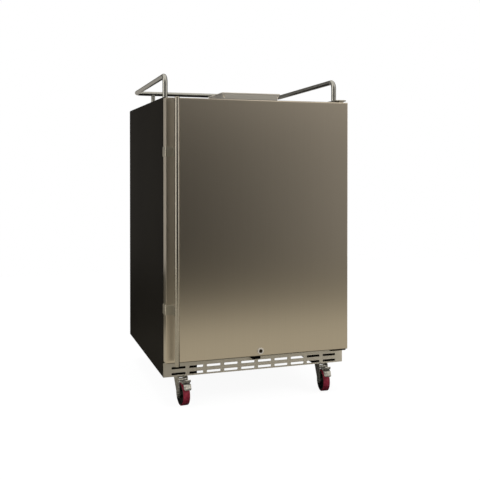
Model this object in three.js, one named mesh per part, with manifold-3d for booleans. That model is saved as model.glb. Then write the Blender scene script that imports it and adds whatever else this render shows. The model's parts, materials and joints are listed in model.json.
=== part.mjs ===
// Keg cooler on casters: an insulated cabinet with a hinged steel door, a guard rail and a drip tray on top.
// Millimetres. X to the right, Y to the back, Z up. The origin is on the floor, under the middle of the part.
// The functions below work from the cabinet's front plane (y = 0), and every mesh is moved at the end.
import * as THREE from "three";
import { mergeVertices } from "three/addons/utils/BufferGeometryUtils.js";
import Module from "manifold-3d";

const wasm = await Module();
wasm.setup();

// Cabinet
const bodyWidth = 600;
const bodyDepth = 608;
const bodyHeight = 855;
const floorClearance = 92;
const kickHeight = 45;
const sheet = 1.2;
const lip = 15;
const seat = 0.3;
const overrun = 5;

// Insulation and liner
const sideWall = 46;
const topWall = 44;
const floorWall = 45;
const backWall = 42;
const backRecess = 25;
const linerSheet = 2;
const stepDepth = 129;
const stepHeight = 220;
const bayWall = 40;
const ribCount = 4;
const ribDepth = 6;
const ribHeight = 10;
const ribEndGap = 30;

// Door
const doorThickness = 36;
const gasketThickness = 6;
const gasketWidth = 12;
const gasketPadThickness = 2;
const gasketNeckWidth = 5;
const doorTopDrop = 4.6;
const doorBottomRise = 6.9;
const doorSheet = 1;
const doorEdgeRadius = 5;
const dikeInset = 12;
const dikeWidth = 14;
const dikeHeight = 11;

// Door hinges
const hingeInset = 15;
const hingePinRadius = 4;
const hingePinReach = 18;
const hingePlate = 4;
const hingeNose = 11;
const hingeCollarWidth = 4;
const topHingeWidth = 34;
const topHingeTail = 55;
const bottomHingeWidth = 56;
const hingeFlangeWidth = 24;
const hingeFlangeHeight = 17;

// Lock in the middle of the door's lower edge
const lockRise = 16.5;
const lockFlangeRadius = 10.5;
const lockFlangeThickness = 3;
const lockBarrelRadius = 7.5;
const lockPlugRadius = 5.5;
const lockBarrelDepth = 22;
const lockCamReach = 26;
const lockCamWidth = 9;
const lockCamThickness = 2.5;
const keySlotWidth = 1.6;
const keySlotLength = 7;
const keySlotDepth = 2;
const keySlotTilt = THREE.MathUtils.degToRad(-30);
const strikeLeft = 23;
const strikeRight = 8;
const strikeSheet = 1.6;
const strikeDrop = 7;
const strikeLipHeight = 11;
const strikeTaper = 6;

// Door handle
const handleRadius = 7;
const handleGap = 33;
const handleInset = 25;
const handleEndRound = 2;
const strapHeight = 29;
const strapThickness = 3.5;
const strapEnd = 162;
const strapSideLeg = 30;
const strapPostWidth = 9;
const strapNose = 6;

// Ventilated kick plate
const slotCount = 10;
const slotRows = 2;
const slotMargin = 19.5;
const slotBridge = 12.1;
const slotHeight = 7;
const slotRowBridge = 11.1;
const slotFoot = 4.8;
const slotCornerRadius = 2;
const kickLip = 8;

// Chassis
const frontBracketWidth = 105;
const frontBracketDepth = 106;
const bracketSheet = 2.5;
const baseFlangeLead = 8;
const baseRearLip = 22;
const bayClearance = 2;

// Guard rail on the top
const railRadius = 8;
const railHeight = 71;
const railInset = 14;
const railFrontSetback = 35;
const railBackSetback = 58;
const railBackLegInset = 79;
const railLegRadius = 7.5;
const railBend = 22;

// Drip tray and tap tower hole on the top
const trayWidth = 197;
const trayDepth = 171;
const trayHeight = 25;
const traySetback = 44;
const trayFlare = 9;
const traySheet = 1.2;
const trayRim = 3;
const trayNotch = 3.4;
const trayNotchDepth = 17;
const gridDrop = 4;
const gridGap = 2;
const gridSheet = 1.5;
const gridSlotCount = 11;
const gridSlotWidth = 5;
const gridSlotMargin = 14;
const gridRows = 2;
const towerSetback = 300;
const towerHoleRadius = 38;
const plugCapRadius = 48;
const plugCapThickness = 4;
const plugSkirtDepth = 14;

// Inside the cavity
const kegPlateGap = 8;
const kegPlateThickness = 3;
const kegPlateRibCount = 5;
const kegPlateRibHeight = 2;
const kegPlateRibWidth = 10;
const fanCoverWidth = 300;
const fanCoverHeight = 220;
const fanCoverDepth = 55;
const fanCoverDrop = 45;
const fanCoverSheet = 2;
const fanRingRadius = 50;
const fanRadius = 46;
const fanHubRadius = 13;
const fanHubLength = 16;
const fanBladeCount = 5;
const fanBladeThickness = 1.6;
const fanBladeChord = 24;
const fanBladeTwist = THREE.MathUtils.degToRad(35);
const fanShaftRadius = 2.5;
const fanMotorRadius = 19;
const fanMotorLength = 16;
const fanArmCount = 3;
const fanArmWidth = 6;
const fanCoverRound = 8;
const ventCount = 9;
const ventLength = 62;
const ventHeight = 8;
const thermostatWidth = 170;
const thermostatDepth = 66;
const thermostatHeight = 44;
const thermostatInset = 44;
const thermostatBackGap = 66;
const thermostatRound = 6;
const knobRadius = 16;
const knobDepth = 15;
const knobShare = 0.28;
const knobShaftRadius = 3;
const knobFluteCount = 12;
const knobFluteRadius = 4;
const knobGripShare = 0.8;
const knobFaceShare = 0.7;
const lensWidth = 60;
const lensHeight = 26;
const lensDepth = 9;
const lensShare = 0.72;

// Cooling unit at the back
const compressorRadius = 70;
const compressorHeight = 160;
const compressorCrown = 42;
const compressorFootShare = 0.86;
const compressorLeft = 110;
const footRadius = 11;
const footHeight = 14;
const footPlate = 3;
const footPlateWidth = 190;
const footPlateDepth = 112;
const footInset = 16;
const terminalWidth = 34;
const terminalDepth = 46;
const terminalHeight = 62;
const panWidth = 190;
const panDepth = 118;
const panHeight = 24;
const panSheet = 2;
const panFlare = 4;
const tubeRadius = 2.5;
const condenserPasses = 7;
const condenserPitch = 72;
const condenserInset = 65;
const condenserStart = 42;
const condenserBend = 20;
const condenserStandoff = 12;
const wireCount = 11;
const wireSize = 1.8;
const wireTail = 16;
const clipWidth = 10;
const clipHeight = 14;
const lineRise = 60;
const lineRun = 90;
const lineBend = 10;
const lineEndDrop = 24;
const lineEndRun = 14;
const glandRadius = 8.5;
const glandBore = 4;
const glandLength = 12;
const glandGroove = 2.5;
const glandInset = 100;

// Casters
const frontCasterInset = 61;
const frontCasterSetback = 36;
const rearCasterInset = 90;
const rearCasterBackGap = 63;
const leftCasterTurn = 6; // degrees about the swivel axis, as the front casters stand in the photograph
const rightCasterTurn = -5;
const casterPlateWidth = 62;
const casterPlateDepth = 50;
const casterPlateThickness = 3;
const casterPlateRound = 6;
const casterBossRadius = 20;
const casterBossHeight = 5;
const kingPinRadius = 5;
const kingPinHead = 8;
const kingPinHeadHeight = 3;
const forkDiscRadius = 24;
const forkSheet = 2.5;
const forkLegGap = 25.5;
const forkTopReach = 21;
const forkAxleRadius = 11;
const wheelRadius = 35;
const wheelTrail = 29;
const treadThickness = 2.5;
const treadWidth = 21.5;
const treadCrown = 1.4;
const coreRimWidth = 23;
const coreWebWidth = 9;
const coreHubWidth = 24.6;
const coreHubRadius = 10;
const coreRimThickness = 4;
const axleRadius = 4;
const axleHeadRadius = 7.5;
const axleHeadHeight = 4.5;
const hexSides = 6;
const pedalWidth = 24;
const pedalSheet = 2.2;
const pedalPivotLead = 24;
const pedalPivotRise = 78;
const pedalPinRadius = 2.5;
const pedalEarRadius = 5.5;
const pedalPlateLead = 62;
const pedalPlateDrop = 3;
const pedalHubRadius = 5;
const pedalTabReach = 14;
const pedalUpperTab = 13;
const pedalLowerTab = 18;

// Smoothness
const cornerSteps = 3;
const roundSteps = 16;
const fineSteps = 32;
const tubeSides = 12;
const railSides = 14;
const thinSides = 8;
const bendSteps = 5;
const thinBendSteps = 3;
const wheelSteps = 24;

// Levels and planes that several pieces share
const halfWidth = bodyWidth / 2;
const baseLevel = floorClearance;
const floorLevel = baseLevel + kickHeight;
const topLevel = baseLevel + bodyHeight;
const skinInside = halfWidth - sheet - seat;
const backPlane = bodyDepth - backRecess;
const chassisLevel = baseLevel + casterPlateThickness + seat;
const cavityHalf = halfWidth - sideWall;
const cavityTop = topLevel - topWall;
const cavityFloor = floorLevel + floorWall;
const cavityBack = backPlane - backWall;
const stepFront = cavityBack - stepDepth;
const stepTop = cavityFloor + stepHeight;
const bayFront = stepFront + bayWall;
const bayTop = stepTop - bayWall;
const doorBack = -gasketThickness;
const doorFace = doorBack - doorThickness;
const doorBottom = floorLevel + doorBottomRise;
const doorTop = topLevel - doorTopDrop;
const handleAxisX = -halfWidth + handleInset;
const handleAxisY = doorFace - handleGap - handleRadius;
const lockLevel = doorBottom + lockRise;
const trayBack = traySetback + trayDepth;
const thermostatLeft = cavityHalf - thermostatInset;
const condenserHalfWidth = halfWidth - condenserInset;
const glandLeft = halfWidth - glandInset;

// The pin stands far enough forward for the door's back corner to swing past the cabinet's front plane.
const hingeX = halfWidth - hingeInset;
const hingeY = -(hingeInset ** 2 + gasketThickness ** 2) / (2 * gasketThickness) - seat;

// Materials
function finish(color, roughness, metalness) {
  return new THREE.MeshStandardMaterial({ color, roughness, metalness });
}
const blackPaint = finish(0x1e1c18, 0.45, 0.3);
const brushedSteel = finish(0x8a8377, 0.35, 1);
const polishedSteel = finish(0xb5afa4, 0.2, 1);
const zincSteel = finish(0x9a9a92, 0.4, 1);
const galvanised = finish(0x8d9092, 0.5, 1);
const whitePlastic = finish(0xe6e6e2, 0.4, 0);
const greyPlastic = finish(0x55565a, 0.6, 0);
const blackPlastic = finish(0x161616, 0.55, 0);
const foam = finish(0xd8cfa8, 0.9, 0);
const gasketRubber = finish(0x6f6f70, 0.7, 0);
const blackRubber = finish(0x1a1a1a, 0.8, 0);
const redTread = finish(0x7a1d26, 0.5, 0);
const clearLens = finish(0xf2efe2, 0.2, 0);

// A closed three.js geometry as a solid that can be joined and cut.
function solid(geometry) {
  const bare = geometry.index ? geometry.toNonIndexed() : geometry.clone();
  bare.deleteAttribute("normal");
  bare.deleteAttribute("uv");
  const merged = mergeVertices(bare);
  const corners = merged.index.array;
  const kept = [];
  for (let i = 0; i < corners.length; i += 3) {
    const [a, b, c] = [corners[i], corners[i + 1], corners[i + 2]];
    if (a !== b && b !== c && c !== a) kept.push(a, b, c);
  }
  return new wasm.Manifold(
    new wasm.Mesh({
      numProp: 3,
      vertProperties: merged.attributes.position.array,
      triVerts: new Uint32Array(kept),
    }),
  );
}

// Basis matrices that turn an outline drawn in x and y, and raised in z, to be raised along another axis.
const unitX = new THREE.Vector3(1, 0, 0);
const unitY = new THREE.Vector3(0, 1, 0);
const unitZ = new THREE.Vector3(0, 0, 1);
const raisedAlong = {
  x: new THREE.Matrix4().makeBasis(unitY, unitZ, unitX),
  y: new THREE.Matrix4().makeBasis(unitX, unitZ, unitY.clone().negate()),
  z: new THREE.Matrix4(),
};

// Raises an outline from one coordinate to another. Outlines are drawn in yz, xz or xy for x, y and z.
function raise(shape, axis, from, to) {
  const geometry = new THREE.ExtrudeGeometry(shape, { depth: to - from, bevelEnabled: false });
  geometry.translate(0, 0, axis === "y" ? -to : from);
  geometry.applyMatrix4(raisedAlong[axis]);
  return solid(geometry);
}

function block(x0, x1, y0, y1, z0, z1) {
  const box = new THREE.BoxGeometry(x1 - x0, y1 - y0, z1 - z0);
  box.translate((x0 + x1) / 2, (y0 + y1) / 2, (z0 + z1) / 2);
  return solid(box);
}

// A closed outline through corners [x, y] or [x, y, radius], with an arc at each corner that has a radius.
function outline(corners, steps = cornerSteps) {
  const points = [];
  corners.forEach(([x, y, radius = 0], i) => {
    const corner = new THREE.Vector2(x, y);
    if (radius <= 0) {
      points.push(corner);
      return;
    }
    const before = corners[(i + corners.length - 1) % corners.length];
    const after = corners[(i + 1) % corners.length];
    const back = new THREE.Vector2(before[0], before[1]).sub(corner).normalize();
    const ahead = new THREE.Vector2(after[0], after[1]).sub(corner).normalize();
    const half = Math.acos(THREE.MathUtils.clamp(back.dot(ahead), -1, 1)) / 2;
    const centre = back.clone().add(ahead).setLength(radius / Math.sin(half)).add(corner);
    const start = corner.clone().addScaledVector(back, radius / Math.tan(half)).sub(centre).angle();
    const end = corner.clone().addScaledVector(ahead, radius / Math.tan(half)).sub(centre).angle();
    const turn = Math.atan2(Math.sin(end - start), Math.cos(end - start));
    for (let k = 0; k <= steps; k += 1) {
      const angle = start + (turn * k) / steps;
      points.push(new THREE.Vector2(radius * Math.cos(angle), radius * Math.sin(angle)).add(centre));
    }
  });
  return new THREE.Shape(points);
}

function rectangle(x0, y0, x1, y1, radius = 0) {
  return outline([
    [x0, y0, radius],
    [x1, y0, radius],
    [x1, y1, radius],
    [x0, y1, radius],
  ]);
}

function circle(x, y, radius, sides = roundSteps) {
  const points = [];
  for (let i = 0; i < sides; i += 1) {
    const angle = (2 * Math.PI * (i + 0.5)) / sides;
    points.push(new THREE.Vector2(x + radius * Math.cos(angle), y + radius * Math.sin(angle)));
  }
  return new THREE.Shape(points);
}

// A round bar along an axis, centred on the two other coordinates in X, Y, Z order.
function bar(axis, a, b, radius, from, to, sides = roundSteps) {
  return raise(circle(a, b, radius, sides), axis, from, to);
}

// A solid of revolution about a line along an axis. Profile points are [radius, coordinate along the axis].
function revolve(profile, axis, a, b, sides = fineSteps) {
  const lathe = new THREE.LatheGeometry(
    profile.map(([radius, along]) => new THREE.Vector2(radius, along)),
    sides,
  );
  if (axis === "x") lathe.rotateZ(-Math.PI / 2).translate(0, a, b);
  if (axis === "y") lathe.translate(a, 0, b);
  if (axis === "z") lathe.rotateX(Math.PI / 2).translate(a, b, 0);
  return solid(lathe);
}

// A closed solid through convex rings of equally many points, counter-clockwise seen from the last ring.
function loft(rings) {
  const positions = rings.flat().flatMap((p) => [p.x, p.y, p.z]);
  const count = rings[0].length;
  const faces = [];
  for (let r = 0; r + 1 < rings.length; r += 1) {
    for (let i = 0; i < count; i += 1) {
      const [a, b] = [r * count + i, r * count + ((i + 1) % count)];
      faces.push(a, b, b + count, a, b + count, a + count);
    }
  }
  const last = (rings.length - 1) * count;
  for (let i = 1; i + 1 < count; i += 1) {
    faces.push(0, i + 1, i);
    faces.push(last, last + i, last + i + 1);
  }
  const geometry = new THREE.BufferGeometry();
  geometry.setAttribute("position", new THREE.Float32BufferAttribute(positions, 3));
  geometry.setIndex(faces);
  return solid(geometry);
}

function levelRing(x0, x1, y0, y1, z) {
  return [
    new THREE.Vector3(x0, y0, z),
    new THREE.Vector3(x1, y0, z),
    new THREE.Vector3(x1, y1, z),
    new THREE.Vector3(x0, y1, z),
  ];
}

// A path of straight runs and round bends. Its stations are the ends of each run and bend step.
class BentPath extends THREE.Curve {
  constructor(corners, bend, steps) {
    super();
    this.stations = [];
    corners.forEach((corner, i) => {
      const back = i > 0 ? corners[i - 1].clone().sub(corner).normalize() : null;
      const ahead = i + 1 < corners.length ? corners[i + 1].clone().sub(corner).normalize() : null;
      if (!back || !ahead) {
        this.stations.push({ point: corner, tangent: ahead ?? back.clone().negate() });
        return;
      }
      const half = back.angleTo(ahead) / 2;
      const inward = back.clone().add(ahead).normalize();
      const centre = corner.clone().addScaledVector(inward, bend / Math.sin(half));
      const first = corner.clone().addScaledVector(back, bend / Math.tan(half)).sub(centre);
      const axis = first.clone().cross(back.clone().negate()).normalize();
      const sweep = Math.PI - 2 * half;
      for (let k = 0; k <= steps; k += 1) {
        const arm = first.clone().applyAxisAngle(axis, (sweep * k) / steps);
        const tangent = axis.clone().cross(arm).normalize();
        this.stations.push({ point: arm.add(centre), tangent });
      }
    });
  }

  get steps() {
    return this.stations.length - 1;
  }

  getPointAt(share) {
    return this.stations[Math.round(share * this.steps)].point.clone();
  }

  getTangentAt(share) {
    return this.stations[Math.round(share * this.steps)].tangent.clone();
  }
}

function tube(corners, radius, bend, sides = tubeSides, steps = bendSteps) {
  const path = new BentPath(corners, bend, steps);
  const section = circle(0, 0, radius, sides);
  return solid(
    new THREE.ExtrudeGeometry(section, { steps: path.steps, extrudePath: path, bevelEnabled: false }),
  );
}

const root = new THREE.Group();

function add(name, shape, material, group = root) {
  const { vertProperties, triVerts } = shape.getMesh();
  const geometry = new THREE.BufferGeometry();
  geometry.setAttribute("position", new THREE.BufferAttribute(vertProperties, 3));
  geometry.setIndex(new THREE.BufferAttribute(triVerts, 1));
  geometry.computeVertexNormals();
  const mesh = new THREE.Mesh(geometry, material);
  mesh.name = name;
  group.add(mesh);
}

// Painted side sheet with a front and a back return.
function sidePanel(side) {
  const top = topLevel - sheet - seat;
  const outer = side * halfWidth;
  const inner = side * (halfWidth - sheet);
  const [x0, x1] = [Math.min(outer, inner), Math.max(outer, inner)];
  const turned = side * (halfWidth - lip);
  const [f0, f1] = [Math.min(outer, turned), Math.max(outer, turned)];
  return block(x0, x1, 0, bodyDepth, baseLevel, top)
    .add(block(f0, f1, 0, sheet, floorLevel + lip + seat, topLevel - lip - seat))
    .add(block(f0, f1, bodyDepth - sheet, bodyDepth, baseLevel, top));
}

// Top sheet with a front lip and the hole for a tap tower.
function topPanel() {
  return block(-halfWidth, halfWidth, 0, bodyDepth, topLevel - sheet, topLevel)
    .add(block(-skinInside, skinInside, 0, sheet, topLevel - lip, topLevel))
    .subtract(bar("z", 0, towerSetback, towerHoleRadius, topLevel - lip, topLevel + overrun, fineSteps));
}

// Back sheet with the clips that hold the condenser.
function backPanel() {
  let panel = block(-skinInside, skinInside, backPlane, backPlane + sheet, bayTop, topLevel - sheet - seat);
  const clipX = condenserHalfWidth - condenserBend - clipWidth;
  const clipEnd = backPlane + condenserStandoff - tubeRadius - seat;
  for (const side of [-1, 1]) {
    for (const pass of [1, condenserPasses - 2]) {
      const z = condenserLevel(pass);
      panel = panel.add(
        block(
          side * clipX - clipWidth / 2,
          side * clipX + clipWidth / 2,
          backPlane,
          clipEnd,
          z - clipHeight / 2,
          z + clipHeight / 2,
        ),
      );
    }
  }
  return panel;
}

// Stepped sheet under the insulation: a front lip, the cabinet's floor, then up and over the compressor bay.
function bottomPanel() {
  const back = backPlane - seat;
  const profile = outline([
    [0, floorLevel],
    [bayFront, floorLevel],
    [bayFront, bayTop],
    [back, bayTop],
    [back, bayTop + sheet],
    [bayFront - sheet, bayTop + sheet],
    [bayFront - sheet, floorLevel + sheet],
    [sheet, floorLevel + sheet],
    [sheet, floorLevel + lip],
    [0, floorLevel + lip],
  ]);
  return raise(profile, "x", -skinInside, skinInside);
}

// The cavity's side view, grown outwards by a margin, as an outline in y and z.
function cavityOutline(margin, front) {
  return outline([
    [front, cavityFloor - margin],
    [stepFront + margin, cavityFloor - margin],
    [stepFront + margin, stepTop - margin],
    [cavityBack + margin, stepTop - margin],
    [cavityBack + margin, cavityTop + margin],
    [front, cavityTop + margin],
  ]);
}

function foamCore() {
  const front = linerSheet + seat;
  const back = backPlane - seat;
  const under = sheet + seat;
  const body = outline([
    [front, floorLevel + under],
    [bayFront - under, floorLevel + under],
    [bayFront - under, bayTop + under],
    [back, bayTop + under],
    [back, topLevel - under],
    [front, topLevel - under],
  ]);
  const margin = linerSheet + seat;
  const half = cavityHalf + margin;
  return raise(body, "x", -skinInside, skinInside)
    .subtract(raise(cavityOutline(margin, -overrun), "x", -half, half))
    .subtract(bar("z", 0, towerSetback, towerHoleRadius, cavityTop - overrun, topLevel, fineSteps));
}

// One-piece plastic liner: front flange, walls with shelf ribs, and the step over the compressor bay.
function innerLiner() {
  const half = cavityHalf + linerSheet;
  const edge = halfWidth - lip - seat;
  let liner = raise(cavityOutline(linerSheet, 0), "x", -half, half).add(
    block(-edge, edge, 0, linerSheet, floorLevel + lip + seat, topLevel - lip - seat),
  );
  liner = liner.subtract(raise(cavityOutline(0, -overrun), "x", -cavityHalf, cavityHalf));
  for (let i = 0; i < ribCount; i += 1) {
    const z = stepTop + ((cavityTop - stepTop) * (i + 1)) / (ribCount + 1);
    for (const side of [-1, 1]) {
      const wallX = side * (cavityHalf + linerSheet / 2);
      const noseX = side * (cavityHalf - ribDepth);
      liner = liner.add(
        block(
          Math.min(wallX, noseX),
          Math.max(wallX, noseX),
          ribEndGap,
          cavityBack - ribEndGap,
          z - ribHeight / 2,
          z + ribHeight / 2,
        ),
      );
    }
  }
  return liner.subtract(
    bar("z", 0, towerSetback, towerHoleRadius, cavityTop - overrun, topLevel, fineSteps),
  );
}

// The keg's loose floor plate, with raised ribs that the keg slides on.
function kegFloorPlate() {
  const half = cavityHalf - kegPlateGap;
  const [front, back] = [kegPlateGap, stepFront - kegPlateGap];
  const top = cavityFloor + seat + kegPlateThickness;
  let plate = raise(
    rectangle(-half, front, half, back, kegPlateGap),
    "z",
    cavityFloor + seat,
    top,
  );
  for (let i = 0; i < kegPlateRibCount; i += 1) {
    const x = (2 * half * (i + 1)) / (kegPlateRibCount + 1) - half;
    plate = plate.add(
      block(
        x - kegPlateRibWidth / 2,
        x + kegPlateRibWidth / 2,
        front + kegPlateRibWidth,
        back - kegPlateRibWidth,
        top - kegPlateRibHeight,
        top + kegPlateRibHeight,
      ),
    );
  }
  return plate;
}

// Evaporator cover on the cavity's back wall: an open-backed pan with vents, and arms for the fan's motor.
const fanLevel = cavityTop - fanCoverDrop - fanCoverHeight / 2;
const fanCoverFront = cavityBack - seat - fanCoverDepth;
const fanMotorBack = fanCoverFront + fanMotorLength;
function fanCover() {
  const half = fanCoverWidth / 2;
  const [bottom, top] = [fanLevel - fanCoverHeight / 2, fanLevel + fanCoverHeight / 2];
  const back = cavityBack - seat;
  const inside = rectangle(
    -half + fanCoverSheet,
    bottom + fanCoverSheet,
    half - fanCoverSheet,
    top - fanCoverSheet,
    fanCoverRound - fanCoverSheet,
  );
  const [cutFrom, cutTo] = [fanCoverFront - overrun, fanCoverFront + 2 * fanCoverSheet];
  let cover = raise(rectangle(-half, bottom, half, top, fanCoverRound), "y", fanCoverFront, back)
    .subtract(raise(inside, "y", fanCoverFront + fanCoverSheet, back + overrun))
    .subtract(bar("y", 0, fanLevel, fanRingRadius, cutFrom, cutTo, fineSteps));
  for (const side of [-1, 1]) {
    for (let i = 0; i < ventCount; i += 1) {
      const z = bottom + (fanCoverHeight * (i + 1)) / (ventCount + 1);
      const middle = (side * (half + fanRingRadius)) / 2;
      cover = cover.subtract(
        block(
          middle - ventLength / 2,
          middle + ventLength / 2,
          cutFrom,
          cutTo,
          z - ventHeight / 2,
          z + ventHeight / 2,
        ),
      );
    }
  }
  for (let i = 0; i < fanArmCount; i += 1) {
    const arm = new THREE.BoxGeometry(fanRingRadius + fanArmWidth, fanCoverSheet, fanArmWidth);
    arm.translate((fanRingRadius + fanArmWidth) / 2, 0, 0);
    arm.rotateY((2 * Math.PI * i) / fanArmCount + Math.PI / 2);
    arm.translate(0, fanCoverFront + fanCoverSheet / 2, fanLevel);
    cover = cover.add(solid(arm));
  }
  return cover
    .add(bar("y", 0, fanLevel, fanMotorRadius, fanCoverFront, fanMotorBack))
    .add(bar("y", 0, fanLevel, fanShaftRadius, fanMotorBack - overrun, fanHubFront() + fanHubLength));
}

function fanHubFront() {
  return fanMotorBack + 2 * seat;
}

// Fan wheel on the motor's shaft: a hub with twisted blades.
function evaporatorFan() {
  const front = fanHubFront();
  const middle = front + fanHubLength / 2;
  let fan = bar("y", 0, fanLevel, fanHubRadius, front, front + fanHubLength);
  for (let i = 0; i < fanBladeCount; i += 1) {
    const length = fanRadius - fanHubRadius / 2;
    const blade = new THREE.BoxGeometry(length, fanBladeThickness, fanBladeChord);
    blade.translate(fanHubRadius / 2 + length / 2, 0, 0);
    blade.rotateX(fanBladeTwist);
    blade.rotateY((2 * Math.PI * i) / fanBladeCount);
    blade.translate(0, middle, fanLevel);
    fan = fan.add(solid(blade));
  }
  return fan.subtract(
    bar("y", 0, fanLevel, fanShaftRadius + seat, front - overrun, front + fanHubLength + overrun),
  );
}

// Control housing under the cavity's ceiling, with a knob on its front and a lamp lens beside it.
const thermostatFront = cavityBack - thermostatBackGap - thermostatDepth;
const thermostatTop = cavityTop - seat;
const knobShaftFront = thermostatFront - knobDepth / 2;
const knobX = -thermostatLeft + thermostatWidth * knobShare;
const knobLevel = thermostatTop - thermostatHeight / 2;
function thermostatHousing() {
  const right = -thermostatLeft + thermostatWidth;
  const bottom = thermostatTop - thermostatHeight;
  const profile = rectangle(-thermostatLeft, bottom, right, thermostatTop, thermostatRound);
  return raise(profile, "y", thermostatFront, thermostatFront + thermostatDepth).add(
    bar("y", knobX, knobLevel, knobShaftRadius, knobShaftFront, thermostatFront + seat),
  );
}

function thermostatKnob() {
  const back = thermostatFront - seat;
  const front = back - knobDepth;
  const grip = [
    [0, front],
    [knobRadius * knobFaceShare, front],
    [knobRadius * knobGripShare, front + thermostatRound / 2],
    [knobRadius * knobGripShare, back - thermostatRound],
    [knobRadius, back - thermostatRound / 2],
    [knobRadius, back],
    [0, back],
  ];
  let knob = revolve(grip, "y", knobX, knobLevel);
  for (let i = 0; i < knobFluteCount; i += 1) {
    const angle = (2 * Math.PI * i) / knobFluteCount;
    const x = knobX + knobRadius * Math.cos(angle);
    const z = knobLevel + knobRadius * Math.sin(angle);
    knob = knob.subtract(
      bar("y", x, z, knobFluteRadius, front - overrun, back - thermostatRound, tubeSides),
    );
  }
  return knob.subtract(
    bar("y", knobX, knobLevel, knobShaftRadius + seat, knobShaftFront - seat, thermostatFront),
  );
}

function lampLens() {
  const x = -thermostatLeft + thermostatWidth * lensShare;
  const profile = rectangle(
    x - lensWidth / 2,
    knobLevel - lensHeight / 2,
    x + lensWidth / 2,
    knobLevel + lensHeight / 2,
    thermostatRound,
  );
  return raise(profile, "y", thermostatFront - seat - lensDepth, thermostatFront - seat);
}

// Compressor: a crowned pot on a foot plate with four rubber feet, and its terminal cover on one side.
const bayBase = chassisLevel + bracketSheet + seat;
const compressorY = (bayFront + bodyDepth) / 2;
const compressorX = -compressorLeft;
const compressorFoot = bayBase + footHeight;
const compressorTop = compressorFoot + compressorHeight;
function compressor() {
  const shoulder = compressorTop - compressorCrown;
  const profile = [
    [0, compressorFoot],
    [compressorRadius * compressorFootShare, compressorFoot],
    [compressorRadius, compressorFoot + compressorCrown / 2],
    [compressorRadius, shoulder],
  ];
  for (let i = 1; i < bendSteps; i += 1) {
    const angle = (Math.PI * i) / (2 * bendSteps);
    profile.push([compressorRadius * Math.cos(angle), shoulder + compressorCrown * Math.sin(angle)]);
  }
  profile.push([0, compressorTop]);
  let pot = revolve(profile, "z", compressorX, compressorY).add(
    raise(
      rectangle(
        compressorX - footPlateWidth / 2,
        compressorY - footPlateDepth / 2,
        compressorX + footPlateWidth / 2,
        compressorY + footPlateDepth / 2,
        footInset,
      ),
      "z",
      compressorFoot - footPlate / 2,
      compressorFoot + footPlate,
    ),
  );
  for (const sideX of [-1, 1]) {
    for (const sideY of [-1, 1]) {
      const x = compressorX + sideX * (footPlateWidth / 2 - footInset);
      const y = compressorY + sideY * (footPlateDepth / 2 - footInset);
      pot = pot.add(bar("z", x, y, footRadius, bayBase, compressorFoot));
    }
  }
  const terminalRight = compressorX - compressorRadius / 2;
  const middle = (compressorFoot + compressorTop) / 2;
  return pot.add(
    block(
      terminalRight - compressorRadius / 2 - terminalWidth,
      terminalRight,
      compressorY - terminalDepth / 2,
      compressorY + terminalDepth / 2,
      middle - terminalHeight / 2,
      middle + terminalHeight / 2,
    ),
  );
}

// Evaporation pan over the compressor.
function drainPan() {
  const bottom = compressorTop + seat;
  const ring = (margin, z) =>
    levelRing(
      compressorX - panWidth / 2 - margin,
      compressorX + panWidth / 2 + margin,
      compressorY - panDepth / 2 - margin,
      compressorY + panDepth / 2 + margin,
      z,
    );
  const outer = loft([ring(0, bottom), ring(panFlare, bottom + panHeight)]);
  const inner = loft([
    ring(-panSheet, bottom + panSheet),
    ring(panFlare - panSheet, bottom + panHeight + panSheet),
  ]);
  return outer.subtract(inner);
}

// Wire-on-tube condenser: one serpentine tube with upright wires along its rear face.
const condenserY = backPlane + condenserStandoff;
function condenserLevel(pass) {
  return bayTop + condenserStart + pass * condenserPitch;
}
function condenser() {
  const corners = [];
  for (let pass = 0; pass < condenserPasses; pass += 1) {
    const side = pass % 2 ? 1 : -1;
    corners.push(new THREE.Vector3(-side * condenserHalfWidth, condenserY, condenserLevel(pass)));
    corners.push(new THREE.Vector3(side * condenserHalfWidth, condenserY, condenserLevel(pass)));
  }
  let coil = tube(corners, tubeRadius, condenserBend, thinSides, thinBendSteps);
  const wireFront = condenserY + tubeRadius - wireSize / 3;
  const reach = condenserHalfWidth - condenserBend - wireSize;
  for (let i = 0; i < wireCount; i += 1) {
    const x = (2 * reach * i) / (wireCount - 1) - reach;
    coil = coil.add(
      block(
        x - wireSize / 2,
        x + wireSize / 2,
        wireFront,
        wireFront + wireSize,
        condenserLevel(0) - wireTail,
        condenserLevel(condenserPasses - 1) + wireTail,
      ),
    );
  }
  return coil;
}

// Discharge line from the compressor up to the condenser's first pass.
function refrigerantLine() {
  const startX = compressorX + compressorRadius + seat;
  const turnX = startX + lineRun;
  const endX = condenserHalfWidth + seat;
  const low = compressorFoot + compressorHeight / 2;
  const level = condenserLevel(0);
  const corners = [
    new THREE.Vector3(startX, compressorY, low),
    new THREE.Vector3(turnX, compressorY, low),
    new THREE.Vector3(turnX, compressorY, low + lineRise),
    new THREE.Vector3(turnX, condenserY, low + lineRise),
    new THREE.Vector3(turnX, condenserY, level - lineEndDrop),
    new THREE.Vector3(endX + lineEndRun, condenserY, level - lineEndDrop),
    new THREE.Vector3(endX + lineEndRun, condenserY, level),
    new THREE.Vector3(endX, condenserY, level),
  ];
  return tube(corners, tubeRadius, lineBend, thinSides, thinBendSteps);
}

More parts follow.
